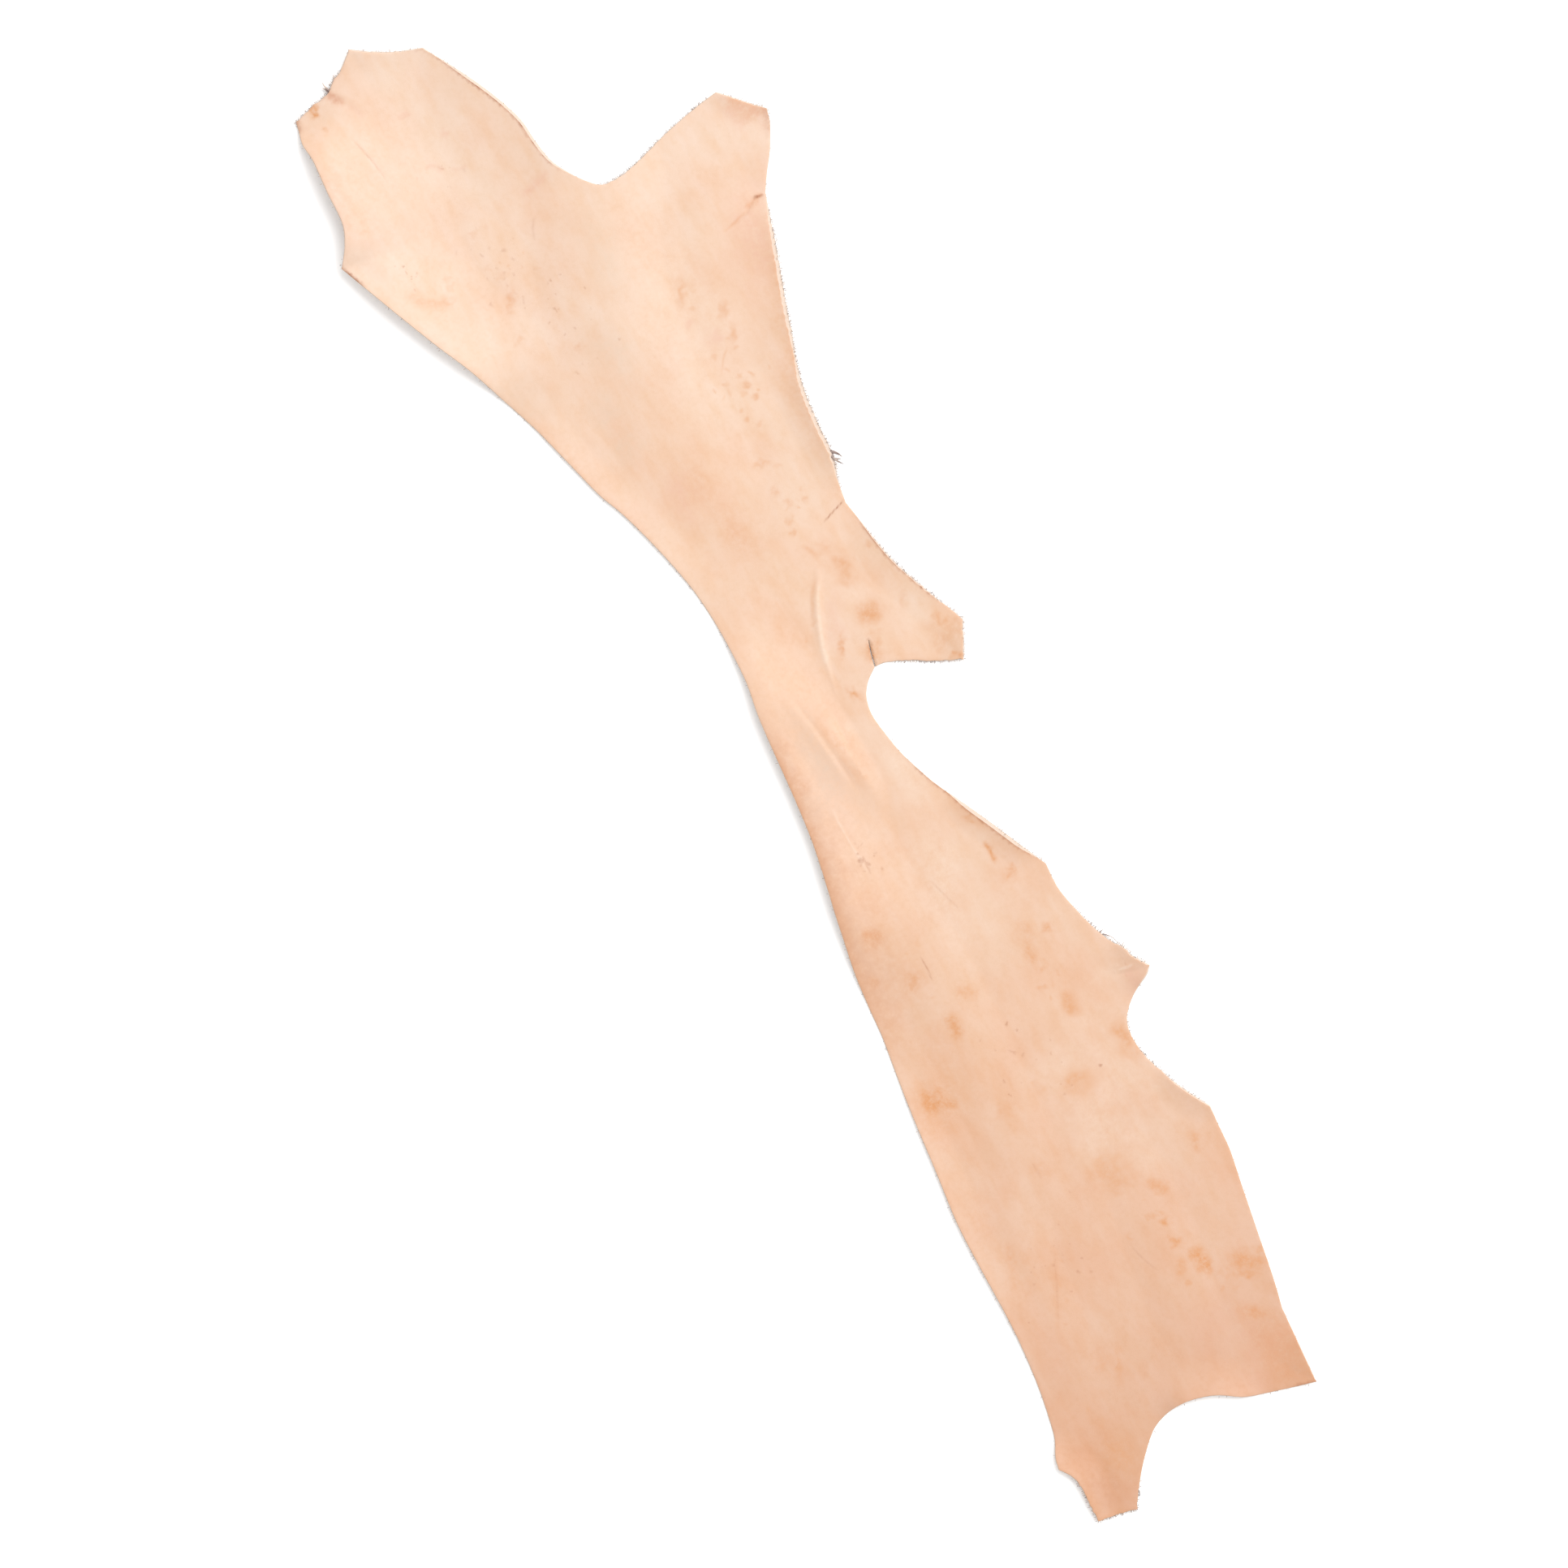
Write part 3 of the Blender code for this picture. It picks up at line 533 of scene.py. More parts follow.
class HideColours(PropertyGroup):
    """Colours of the leather, its marks and its edge."""

    tail: colour("Grain, tail", "Grain side at the tab", "B48D74")
    rump: colour("Grain, rump", "Grain side at the hind end", "BB9B86")
    loin: colour("Grain, loin", "Grain side behind the waist", "BFA18C")
    body: colour("Grain, body", "Grain side at the waist", "C2A793")
    head: colour("Grain, head", "Grain side at the lobes", "C4AE9E")
    clouds: colour("Clouds", "Tint of the widest mottling", "FEF8F3")
    blush: colour("Blush", "Tint of the pinkish mottling", "FEFAF8")
    olive: colour("Olive", "Tint of the greyish mottling", "FDFAF6")
    streaks: colour("Streaks", "Tint of the mottling drawn out along the hide", "FEFBF7")
    amber: colour("Amber", "Tint of the brownish mottling", "FEFAF5")
    specks: colour("Specks", "Tint of the finest mottling", "FDFCFA")
    # Tan, rose, pale and scar also carry painted light in places: painted shade beside the waist fold, on
    # the pinched crease, in the torn corner's fold, along the slit and along the lifted edges, and painted
    # light in the pale zones on the lobes
    tan: colour("Tan", "Tannin stains and burnished edges", "B47E53")
    rose: colour("Rose", "Pink patches", "BC927D")
    # Grey-beige is mostly painted shade: the trough beside the long ridge and the lifted edges of the long
    # cut and neck side. At the waist it is also a greyer tone of the leather.
    ash: colour("Ash", "Grey-beige patches", "B9A390")
    pale: colour("Pale", "Rubbed and stretched places", "CAB7A6")
    scar: colour("Scar", "Dark lines in creases, veins and pinholes", "824826")
    cut: colour("Cut edge", "Raw face of the cut edge", "C3B2A5")
    flesh: colour("Flesh side", "Suede underside", "B39A82")
    fibre: colour("Fibre", "Loose fibres and shreds", "7C6864")


class StageSizes(PropertyGroup):
    """Camera, lights and floor."""

    view_width: length("View width", "Width of floor that the picture shows", 1738.8)
    lens: FloatProperty(name="Lens", description="Focal length in mm", default=200.0)
    floor: length("Floor", "Side of the square floor", 60000.0)
    key_power: FloatProperty(name="Key light", description="Power in W", default=1800.0, unit="POWER")
    key_size: length("Key size", "Side of the square key light", 12500.0)
    key_distance: length("Key distance", "Distance from the hide to the key light", 12000.0)
    key_height: FloatProperty(
        name="Key height", description="Angle above the floor", default=radians(46), unit="ROTATION")
    fill: FloatProperty(name="Fill", description="Strength of the light all round", default=1.08)


def smooth_run(knots, step, last):
    """A smooth line through knots and on to last, as points about step apart, without last."""
    points = [np.array(knot, float) for knot in (*knots, last)]
    ends = [2 * points[0] - points[1], *points, 2 * points[-1] - points[-2]]
    run = []
    for before, here, there, after in zip(ends, ends[1:], ends[2:], ends[3:]):
        gaps = [max(np.linalg.norm(b - a), 1e-6) ** 0.5
                for a, b in ((before, here), (here, there), (there, after))]
        leave = slope_at(before, here, there, gaps[0], gaps[1]) * gaps[1]
        arrive = slope_at(here, there, after, gaps[1], gaps[2]) * gaps[1]
        count = max(1, ceil(np.linalg.norm(there - here) / step))
        for t in np.arange(count) / count:
            run.append((2 * t**3 - 3 * t**2 + 1) * here + (t**3 - 2 * t**2 + t) * leave
                       + (3 * t**2 - 2 * t**3) * there + (t**3 - t**2) * arrive)
    return run


def slope_at(before, here, after, gap_in, gap_out):
    """The direction of a centripetal spline at here."""
    return ((here - before) / gap_in - (after - before) / (gap_in + gap_out)
            + (after - here) / gap_out)


def line_through(knots, step):
    """A smooth line through all its knots, as an array with a row for each point."""
    return np.array(smooth_run(knots[:-1], step, knots[-1]) + [np.array(knots[-1], float)])


def trace_outline(step):
    """The whole outline as points about step apart, clockwise, one row each."""
    points = []
    for section, following in zip(OUTLINE, OUTLINE[1:] + OUTLINE[:1]):
        points += smooth_run(section.knots, step, following.knots[0])
    return np.array(points)


def distance_along(line, points):
    """How far each point is from a line of points, and where along it, from 0 to 1."""
    marks = places_along(line)
    best = np.full(len(points), np.inf)
    where = np.zeros(len(points))
    for index, (a, b) in enumerate(zip(line, line[1:])):
        along = b - a
        share = np.clip((points - a) @ along / max(along @ along, 1e-9), 0, 1)
        gap = np.linalg.norm(points - a - share[:, None] * along, axis=1)
        closer = gap < best
        best[closer] = gap[closer]
        where[closer] = marks[index] + share[closer] * (marks[index + 1] - marks[index])
    return best, where


def close_to(line, points, reach):
    """Which points lie in the box round a line, widened by reach."""
    low, high = line.min(axis=0) - reach, line.max(axis=0) + reach
    return np.flatnonzero(((points > low) & (points < high)).all(axis=1))


def beside(line, points, reach):
    """Which points are close to a line, how far from it they are, and where along it."""
    near = close_to(line, points, reach)
    return near, *distance_along(line, points[near])


def places_along(line):
    """How far along a line each of its own points is, from 0 to 1."""
    travelled = np.concatenate([[0.0], np.cumsum(np.linalg.norm(np.diff(line, axis=0), axis=1))])
    return travelled / travelled[-1]


def ease_ends(where):
    """A weight that rises smoothly from 0 at either end of a stretch to 1."""
    ramp = np.clip(np.minimum(where, 1 - where) / EASE, 0, 1)
    return ramp * ramp * (3 - 2 * ramp)


def stretch_of(outline, row):
    """The part of the outline from a row's start clockwise to its end."""
    first = np.argmin(np.linalg.norm(outline[:, :2] - row.start, axis=1))
    last = np.argmin(np.linalg.norm(outline[:, :2] - row.end, axis=1))
    count = (last - first) % len(outline) + 1
    return outline[(first + np.arange(count)) % len(outline)]


def blended(line, points, values):
    """The values given along a line, blended smoothly over the points around it."""
    total = np.zeros(len(points))
    weights = np.zeros(len(points))
    for place, value in zip(line, values):
        weight = 1 / (((points - place) ** 2).sum(axis=1) + BLEND**2) ** 3
        total += weight * value
        weights += weight
    return total / weights


def height_at(outline, points):
    """How far the underside stands off the surface at each point, in mm."""
    height = np.zeros(len(points))
    for lift in EDGE_LIFTS:
        stretch = stretch_of(outline, lift)
        near, gap, _ = beside(stretch, points, lift.reach)
        rise = lift.lift * np.clip(1 - gap / lift.reach, 0, 1) ** 2
        fall = lift.roll * np.clip(1 - gap / ROLL_REACH, 0, 1) ** 2
        eased = ease_ends(places_along(stretch))
        height[near] += (rise - fall) * blended(stretch, points[near], eased)
    for fold in FOLDS:
        line = line_through(fold.knots, OUTLINE_STEP)
        near, gap, _ = beside(line[:, :2], points, fold.width)
        share = np.clip(gap / fold.width, 0, 1)
        round_crest = (1 - share**2) ** 2
        creased = (1 - share) ** 2
        profile = (1 - fold.point) * round_crest + fold.point * creased
        height[near] += profile * blended(line[:, :2], points[near], line[:, 2])
    return np.clip(height - SETTLE, 0, None)


def crease_height(points):
    """How far the fine creases raise the grain side at each point, in mm."""
    height = np.zeros(len(points))
    for crease in CREASES:
        line = line_through(crease.knots, CREASE_STEP)
        near, gap, where = beside(line, points, CREASE_REACH * crease.width)
        height[near] += crease.height * np.exp(-(gap / crease.width) ** 2) * ease_ends(where)
    return height


def cut_along(outline):
    """How much of the cut face shows from above at each point of the outline, in mm."""
    width = np.full(len(outline), PLAIN_CUT)
    for lift in EDGE_LIFTS:
        gap, where = distance_along(stretch_of(outline, lift), outline)
        on_it = gap < SAME_PLACE
        width[on_it] = np.maximum(width[on_it], lift.cut * ease_ends(where[on_it]))
    return width


def cut_width(outline, points):
    """How much of the cut face shows from above at points along the edge, in mm."""
    width = cut_along(outline)
    closed = np.vstack([outline, outline[:1]])
    _, where = distance_along(closed, points)
    return np.interp(where, places_along(closed), np.append(width, width[0]))


def amount_along(outline, rows, points, value, plain):
    """A value given for stretches of the edge, read at points along the edge."""
    amount = np.full(len(points), plain, float)
    for row in rows:
        gap, where = distance_along(stretch_of(outline, row), points)
        ramp = np.clip(np.minimum(where, 1 - where) * RAMP_STEEP, 0, 1)
        on_it = gap < ON_EDGE
        amount[on_it] = np.maximum(amount[on_it], value(row) * ramp[on_it])
    return amount


def inward(outline):
    """The direction into the hide at each point of a clockwise outline."""
    ahead = np.roll(outline, -1, axis=0) - outline
    behind = outline - np.roll(outline, 1, axis=0)
    ahead /= np.linalg.norm(ahead, axis=1)[:, None]
    behind /= np.linalg.norm(behind, axis=1)[:, None]
    along = ahead + behind
    along /= np.maximum(np.linalg.norm(along, axis=1), 0.2)[:, None]
    return np.stack([along[:, 1], -along[:, 0]], axis=1)


def straightness(outline):
    """1 where the outline runs straight, and less at and beside a sharp corner."""
    ahead = np.roll(outline, -1, axis=0) - outline
    ahead /= np.linalg.norm(ahead, axis=1)[:, None]
    along = np.linalg.norm(ahead + np.roll(ahead, 1, axis=0), axis=1) / 2
    return np.minimum.reduce([np.roll(along, shift) for shift in (-1, 0, 1)]) ** 3


def inside(outline, points):
    """Which points lie inside the outline."""
    result = np.zeros(len(points), bool)
    for (ax, ay), (bx, by) in zip(outline, np.roll(outline, -1, axis=0)):
        spans = (ay > points[:, 1]) != (by > points[:, 1])
        if spans.any():
            result[spans] ^= points[spans, 0] < ax + (points[spans, 1] - ay) * (bx - ax) / (by - ay)
    return result


def to_part_frame(points):
    """Turn (right, up) places so that the hide's length runs along +Y."""
    turn = radians(LAY_ANGLE)
    right, up = points[:, 0], points[:, 1]
    return np.stack([right * cos(turn) + up * sin(turn), up * cos(turn) - right * sin(turn)], axis=1)


def hide_centre():
    """Middle of the solid's outline in the turned frame, in mm, which is the part's origin."""
    outline = to_part_frame(trace_outline(OUTLINE_STEP))
    return (outline.min(axis=0) + outline.max(axis=0)) / 2


def waver(points, size, layer):
    """A smooth random value from about -1 to 1 at each point, over patches of a size in mm."""
    return np.array([noise.noise((x / size, y / size, layer)) for x, y in points])


def drift(points, size, seed):
    """Two smooth random values from about -1 to 1 at each point, over patches of a size in mm."""
    noise.seed_set(NOISE_SEED)
    return np.array([noise.noise_vector((x / size, y / size, seed)).xy for x, y in points])


def field_points(outline, step, band):
    """Points inside the hide, on a triangular lattice that is twice as fine round fine marks."""
    low, high = outline.min(axis=0), outline.max(axis=0)
    half = step / 2
    row_gap = half * 3**0.5 / 2
    rows, columns = np.meshgrid(np.arange(int((high[1] - low[1]) / row_gap)),
                                np.arange(int((high[0] - low[0]) / half)), indexing="ij")
    points = np.stack([low[0] + (columns + rows % 2 / 2) * half, low[1] + rows * row_gap], axis=-1)
    coarse = (rows % 2 == 0) & (columns % 2 == rows // 2 % 2)
    points, coarse = points.reshape(-1, 2), coarse.ravel()
    if band:
        lines = [(line_through(mark.knots, 2 * CREASE_STEP), mark.width)
                 for mark in (*CREASES, *STREAKS) if mark.width < band]
        lines += [(np.array([[s.right, s.up], [s.right, s.up + 0.1]]), min(s.long, s.wide))
                  for s in all_stains() if min(s.long, s.wide) <= FINE_STAIN]
        for line, width in lines:
            near, gap, _ = beside(line, points, band + width)
            coarse[near[gap < band + width]] = True
    points = points[coarse]

    # A quick test against every sixth point of the outline, then a full one close to the border
    points = points[inside(outline[::6], points)]
    border = KDTree(len(outline))
    for index, (x, y) in enumerate(outline):
        border.insert((x, y, 0), index)
    border.balance()
    gap = np.array([border.find((x, y, 0))[2] for x, y in points])
    rim = gap < 3 * step
    kept = np.ones(len(points), bool)
    kept[rim] = inside(outline, points[rim]) & (gap[rim] > step * RIM_CLEAR)
    return points[kept]


def all_stains():
    """The stains listed, and those of the clusters, drawn out roughly along the hide."""
    chance = Random(CLUSTER_SEED)
    stains = list(STAINS)
    for cluster in CLUSTERS:
        for _ in range(cluster.count):
            size = cluster.size * chance.uniform(0.4, 1)
            stains.append(Stain(
                cluster.finish, chance.gauss(cluster.right, cluster.spread / 2),
                chance.gauss(cluster.up, cluster.spread / 2), size, size * chance.uniform(0.3, 0.8),
                LAY_ANGLE + 90 + chance.gauss(0, CLUSTER_TURN), cluster.strength * chance.uniform(0.4, 1)))
    return stains


def marks_at(outline, points):
    """How strong each finish is at each point, as a dict of arrays from 0 to 1."""
    amounts = {finish: np.zeros(len(points)) for finish in FINISHES}
    wobble = {size: drift(points, size, size) for size in WOBBLES}
    fine, at_rims = wobble[WOBBLES[0]], wobble[WOBBLES[1]]

    def add(finish, near, amount):
        amounts[finish][near] = np.maximum(amounts[finish][near], amount)

    for stain in all_stains():
        size = min(wobble, key=lambda s: abs(s - 1.5 * stain.wide))
        reach = STAIN_REACH * max(stain.long, stain.wide)
        away = points - (stain.right, stain.up)
        near = np.flatnonzero((np.abs(away) < reach).all(axis=1))
        away = away[near] + wobble[size][near] * 0.9 * min(stain.long, stain.wide) + fine[near]
        turn = radians(stain.turn)
        u = (away[:, 0] * cos(turn) + away[:, 1] * sin(turn)) / stain.long
        v = (away[:, 1] * cos(turn) - away[:, 0] * sin(turn)) / stain.wide
        sharp = 0.8 + 7 / (stain.long + stain.wide)
        add(stain.finish, near, stain.strength * np.exp(-(u * u + v * v) ** sharp))
    for streak in STREAKS:
        line = line_through(streak.knots, STREAK_STEP)
        near = close_to(line, points, STREAK_REACH * streak.width)
        moved = points[near] + fine[near] * 0.5 * streak.width
        gap, where = distance_along(line, moved)
        add(streak.finish, near, streak.strength * np.exp(-(gap / streak.width) ** 2) * ease_ends(where))
    with_cut = np.column_stack([outline, cut_along(outline)])
    for rim in RIM_STAINS:
        stretch = stretch_of(with_cut, rim)
        near, gap, where = beside(stretch[:, :2], points, STREAK_REACH * rim.width + WIDEST_CUT)
        cut = np.interp(where, places_along(stretch[:, :2]), stretch[:, 2])
        onto_grain = np.maximum(gap - cut, 0) * (1 + 0.6 * at_rims[near, 0])
        profile = np.exp(-(onto_grain / rim.width) ** 1.5)
        add(rim.finish, near, rim.strength * profile * ease_ends(where))
    return amounts


def set_inputs(tree, node, inputs):
    """Link or set each of a node's inputs that is named."""
    for socket, value in inputs.items():
        if isinstance(value, bpy.types.NodeSocket):
            tree.links.new(value, node.inputs[socket])
        else:
            node.inputs[socket].default_value = value


def add_node(tree, kind, inputs=None, **settings):
    """Add a node, give it its settings, and link or set each of the inputs named."""
    node = tree.nodes.new(kind)
    for name, value in settings.items():
        setattr(node, name, value)
    set_inputs(tree, node, inputs or {})
    return node


def noise_over(tree, place, patch, detail, roughness=0.5):
    """A noise from 0 to 1 over patches this many mm wide."""
    return add_node(tree, "ShaderNodeTexNoise", {
        "Vector": place, "Scale": per_metre(patch), "Detail": detail,
        "Roughness": roughness}).outputs["Fac"]


def ranged(tree, value, start, full, to=(0.0, 1.0)):
    """A value from start to full stretched onto another range, and held inside it."""
    return add_node(tree, "ShaderNodeMapRange", {
        "Value": value, "From Min": start, "From Max": full, "To Min": to[0],
        "To Max": to[1]}).outputs["Result"]


def mixed(tree, share, first, second, **settings):
    """Two colours, mixed by a share from 0 to 1."""
    return add_node(tree, "ShaderNodeMix", {FACTOR: share, MIX_A: first, MIX_B: second},
                    data_type="RGBA", **settings).outputs[MIXED]


def bumped(tree, height, strength, depth, **under):
    """The surface's normal, raised by a height that is depth mm deep."""
    return add_node(tree, "ShaderNodeBump", {
        "Height": height, "Strength": strength, "Distance": depth * MM, **under}).outputs["Normal"]


def maths(tree, operation, first, second, **settings):
    """One number worked out of two."""
    return add_node(tree, "ShaderNodeMath", {0: first, 1: second}, operation=operation,
                    **settings).outputs[0]


def per_metre(millimetres):
    """A noise or cell scale whose features are about this wide."""
    return 1 / (millimetres * MM)


def new_material(name):
    """An empty material with its tree and its Principled shader."""
    material = bpy.data.materials.new(name)
    material.use_nodes = True
    return material, material.node_tree, material.node_tree.nodes["Principled BSDF"]


def object_place(tree):
    """The place on the hide in metres, as a node's output."""
    return add_node(tree, "ShaderNodeTexCoord").outputs["Object"]


def grain_leather(colours):
    """Vegetable-tanned leather, grain side: undyed, pale, and darker where tannin has gathered.

    The eye gets a soft mottled pink-tan that deepens towards the tail, faint pores, and a dull
    sheen from the wax that the tanner rubs in. Some of its stains are painted shade and painted
    light beside folds, the slit and lifted edges.
    """
    material, tree, shader = new_material("vegetable-tanned leather, grain side")
    place = object_place(tree)
    along = add_node(tree, "ShaderNodeSeparateXYZ", {"Vector": place}).outputs["Y"]
    share = ranged(tree, along, CAD_BOX[0].y, CAD_BOX[1].y)
    ramp = add_node(tree, "ShaderNodeValToRGB", {"Fac": share})
    ramp.color_ramp.elements[0].color = colours.tail
    ramp.color_ramp.elements[1].color = colours.head
    for share_along, tone in GRAIN_TONES:
        ramp.color_ramp.elements.new(share_along).color = getattr(colours, tone)
    tone = ramp.outputs["Color"]

    for mottle in MOTTLES:
        stretched = add_node(tree, "ShaderNodeMapping", {
            "Vector": place, "Location": (mottle.patch, 0, 0), "Scale": (1.0, 1 / mottle.stretch, 1.0)})
        cover = noise_over(tree, stretched.outputs["Vector"], mottle.patch, detail=2.0)
        cover = ranged(tree, cover, mottle.start, mottle.full)
        tone = mixed(tree, cover, tone, getattr(colours, mottle.tint), blend_type="MULTIPLY")

    # Stains and lines from the tables, some of them painted shade and light, broken up by a noise
    patchy = noise_over(tree, place, patch=7, detail=4.0, roughness=0.65)
    patchy = ranged(tree, patchy, 0.32, 0.66, to=(0.45, 1.45))
    for finish in FINISHES:
        amount = add_node(tree, "ShaderNodeAttribute", attribute_name=finish).outputs["Fac"]
        amount = maths(tree, "MULTIPLY", amount, patchy, use_clamp=True)
        tone = mixed(tree, amount, tone, getattr(colours, finish))

    # Pores, 1.6 mm apart: finer than the picture shows, so they are only a faint tooth
    pores = add_node(tree, "ShaderNodeTexVoronoi", {
        "Vector": place, "Scale": per_metre(1.6)}).outputs["Distance"]
    wrinkles = noise_over(tree, place, patch=6, detail=4.0)
    relief = bumped(tree, pores, strength=0.25, depth=0.12)
    set_inputs(tree, shader, {
        "Base Color": tone, "Normal": bumped(tree, wrinkles, strength=0.25, depth=0.3, Normal=relief),
        "Roughness": ranged(tree, cover, 0.0, 1.0, to=(0.5, 0.62)), "IOR": 1.46,
        "Specular IOR Level": 0.4})
    return material


def cut_leather(colours):
    """Raw cut leather: the pale fibrous layer between grain and flesh, matt and a little woolly."""
    material, tree, shader = new_material("vegetable-tanned leather, cut edge")
    fibres = noise_over(tree, object_place(tree), patch=1.5, detail=4.0, roughness=0.7)
    shade = ranged(tree, fibres, 0.25, 0.75, to=(0.0, 0.45))
    set_inputs(tree, shader, {
        "Base Color": mixed(tree, shade, colours.cut, colours.flesh),
        "Normal": bumped(tree, fibres, strength=0.7, depth=0.3), "Roughness": 0.92,
        "Specular IOR Level": 0.2})
    return material


def flesh_leather(colours):
    """Suede underside: a short brushed nap, matt, in slightly darker strokes."""
    material, tree, shader = new_material("vegetable-tanned leather, flesh side")
    place = object_place(tree)
    strokes = add_node(tree, "ShaderNodeMapping", {"Vector": place, "Scale": (1.0, 0.3, 1.0)})
    nap = noise_over(tree, strokes.outputs["Vector"], patch=3, detail=6.0, roughness=0.7)
    shade = maths(tree, "MULTIPLY", nap, noise_over(tree, place, patch=60, detail=3.0))
    set_inputs(tree, shader, {
        "Base Color": mixed(tree, shade, colours.flesh, colours.tan),
        "Normal": bumped(tree, nap, strength=0.8, depth=0.4), "Roughness": 0.95, "Sheen Weight": 0.15})
    return material


def loose_fibre(colours):
    """Loose collagen fibres: matt, and from pale to grey-brown where they have picked up dust."""
    material, tree, shader = new_material("collagen fibre, loose")
    dust = noise_over(tree, object_place(tree), patch=7, detail=2.0)
    shade = ranged(tree, dust, 0.35, 0.65, to=(0.2, 1.0))
    set_inputs(tree, shader, {
        "Base Color": mixed(tree, shade, colours.cut, colours.fibre), "Roughness": 0.9})
    return material


def studio_paper():
    """Seamless white paper under the hide: matt, with no pattern."""
    material, tree, shader = new_material("white studio paper, matt")
    set_inputs(tree, shader, {
        "Base Color": linear("F9F9F9"), "Roughness": 0.9, "Specular IOR Level": 0.0})
    return material


def edge_rings(sizes):
    """Rings of points from the flesh side's border, up the cut face, to the grain side's border.

    Each ring is (places, height above the underside), all in mm, with one point for each point
    of the finely traced outline.
    """
    coarse = trace_outline(OUTLINE_STEP)
    outline = trace_outline(sizes.edge_step / MM)
    into = inward(outline)
    depth = amount_along(coarse, RAGGED, outline, lambda row: row.depth, PLAIN_RAGGED)
    bite = sum(strength * waver(outline, size, layer) for size, layer, strength in BITES)
    outline = outline + into * (depth * (bite + BITE_LEAN))[:, None]
    cut = cut_width(coarse, outline)
    beside_slit, _ = distance_along(np.array(SLIT, float), outline)
    room = straightness(outline) * np.clip(beside_slit / SLIT_ROOM, SLIT_SLANT, 1)
    thick = sizes.thickness / MM
    rings = []
    for depth_in, share, rise in RINGS:
        sway = waver(outline, WAVER_SIZE, rise * 9)
        inset = depth_in + cut * share + RING_WAVER * sway * min(share, 1 - share)
        rings.append((outline + into * (inset * room)[:, None], thick * rise))
    return coarse, rings


def hide_mesh(sizes, materials):
    """The hide as one closed mesh with its marks as attributes of its points."""
    coarse, rings = edge_rings(sizes)
    count = len(rings[0][0])
    border = [(index, (index + 1) % count) for index in range(count)]
    grain = field_points(rings[-1][0], sizes.grain_step / MM, sizes.detail_band / MM)
    flesh = field_points(rings[0][0], sizes.flesh_step / MM, 0)
    thick = sizes.thickness / MM

    places = np.vstack([ring for ring, _ in rings] + [grain, flesh])
    above = np.concatenate([np.full(count, rise) for _, rise in rings]
                           + [np.full(len(grain), thick), np.zeros(len(flesh))])
    height = height_at(coarse, places) + above
    grain_first = count * len(rings)
    flesh_first = grain_first + len(grain)
    upper = np.r_[count * (len(rings) - 1):flesh_first]
    height[upper] += crease_height(places[upper])

    faces = []
    slots = []
    for field, first, ring, turned, slot in (
            (grain, grain_first, len(rings) - 1, False, 0), (flesh, flesh_first, 0, True, 2)):
        flat = np.vstack([rings[ring][0], field])
        found = delaunay_2d_cdt([tuple(p) for p in flat], border, [], 1, 1e-5)
        if len(found[0]) != len(flat):
            raise RuntimeError("the edge crosses itself")
        for face in found[2]:
            ids = [ring * count + i if i < count else first + i - count for i in face]
            faces.append(ids[::-1] if turned else ids)
            slots.append(slot)
    for ring in range(len(rings) - 1):
        for a, b in border:
            low, high = ring * count, (ring + 1) * count
            faces.append([low + a, high + a, high + b, low + b])
            slots.append(1 if ring < CUT_RINGS else 0)

    mesh = bpy.data.meshes.new("leather_hide")
    flat = (to_part_frame(places) - hide_centre()) * MM
    mesh.from_pydata(np.column_stack([flat, height * MM]).tolist(), [], faces)
    for material in materials:
        mesh.materials.append(material)
    mesh.polygons.foreach_set("material_index", slots)
    mesh.shade_smooth()
    for finish, amount in marks_at(coarse, places).items():
        attribute = mesh.attributes.new(finish, "FLOAT", "POINT")
        attribute.data.foreach_set("value", amount.astype(np.float32))
    mesh.update()
    return mesh


def outline_area():
    """Flat area of the hide in square metres."""
    right, up = trace_outline(OUTLINE_STEP).T * MM
    return abs(np.sum(right * np.roll(up, -1) - up * np.roll(right, -1))) / 2


def add_object(name, data):
    """A new object in the scene for a mesh, light or camera."""
    thing = bpy.data.objects.new(name, data)
    bpy.context.scene.collection.objects.link(thing)
    return thing


def new_piece(name, mesh):
    """An object for a finished mesh, riding on the part's one body."""
    piece = add_object(name, mesh)
    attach(piece, "root")
    return piece


def fibre_line(sizes):
    """The line along the outer rim of the cut face that fibres grow from, as a mesh loop."""
    coarse, rings = edge_rings(sizes)
    places, _ = rings[1]
    into = inward(places)
    amount = amount_along(coarse, FUZZ, places, lambda row: row.amount, PLAIN_FUZZ)
    height = height_at(coarse, places) + FIBRE_RISE
    mesh = bpy.data.meshes.new("edge_line")
    flat = (to_part_frame(places) - hide_centre()) * MM
    count = len(places)
    mesh.from_pydata(np.column_stack([flat, height * MM]).tolist(),
                     [(i, (i + 1) % count) for i in range(count)], [])
    outward = np.column_stack([to_part_frame(-into), np.full(count, FIBRE_TILT)])
    mesh.attributes.new("outward", "FLOAT_VECTOR", "POINT").data.foreach_set(
        "vector", outward.astype(np.float32).ravel())
    mesh.attributes.new("fuzz", "FLOAT", "POINT").data.foreach_set("value", amount.astype(np.float32))
    return mesh


def random_vectors(tree, low, high, seed):
    """A random vector between two corners for each point."""
    return add_node(tree, "FunctionNodeRandomValue", {"Min": low, "Max": high, "Seed": seed},
                    data_type="FLOAT_VECTOR").outputs[VECTOR_VALUE]


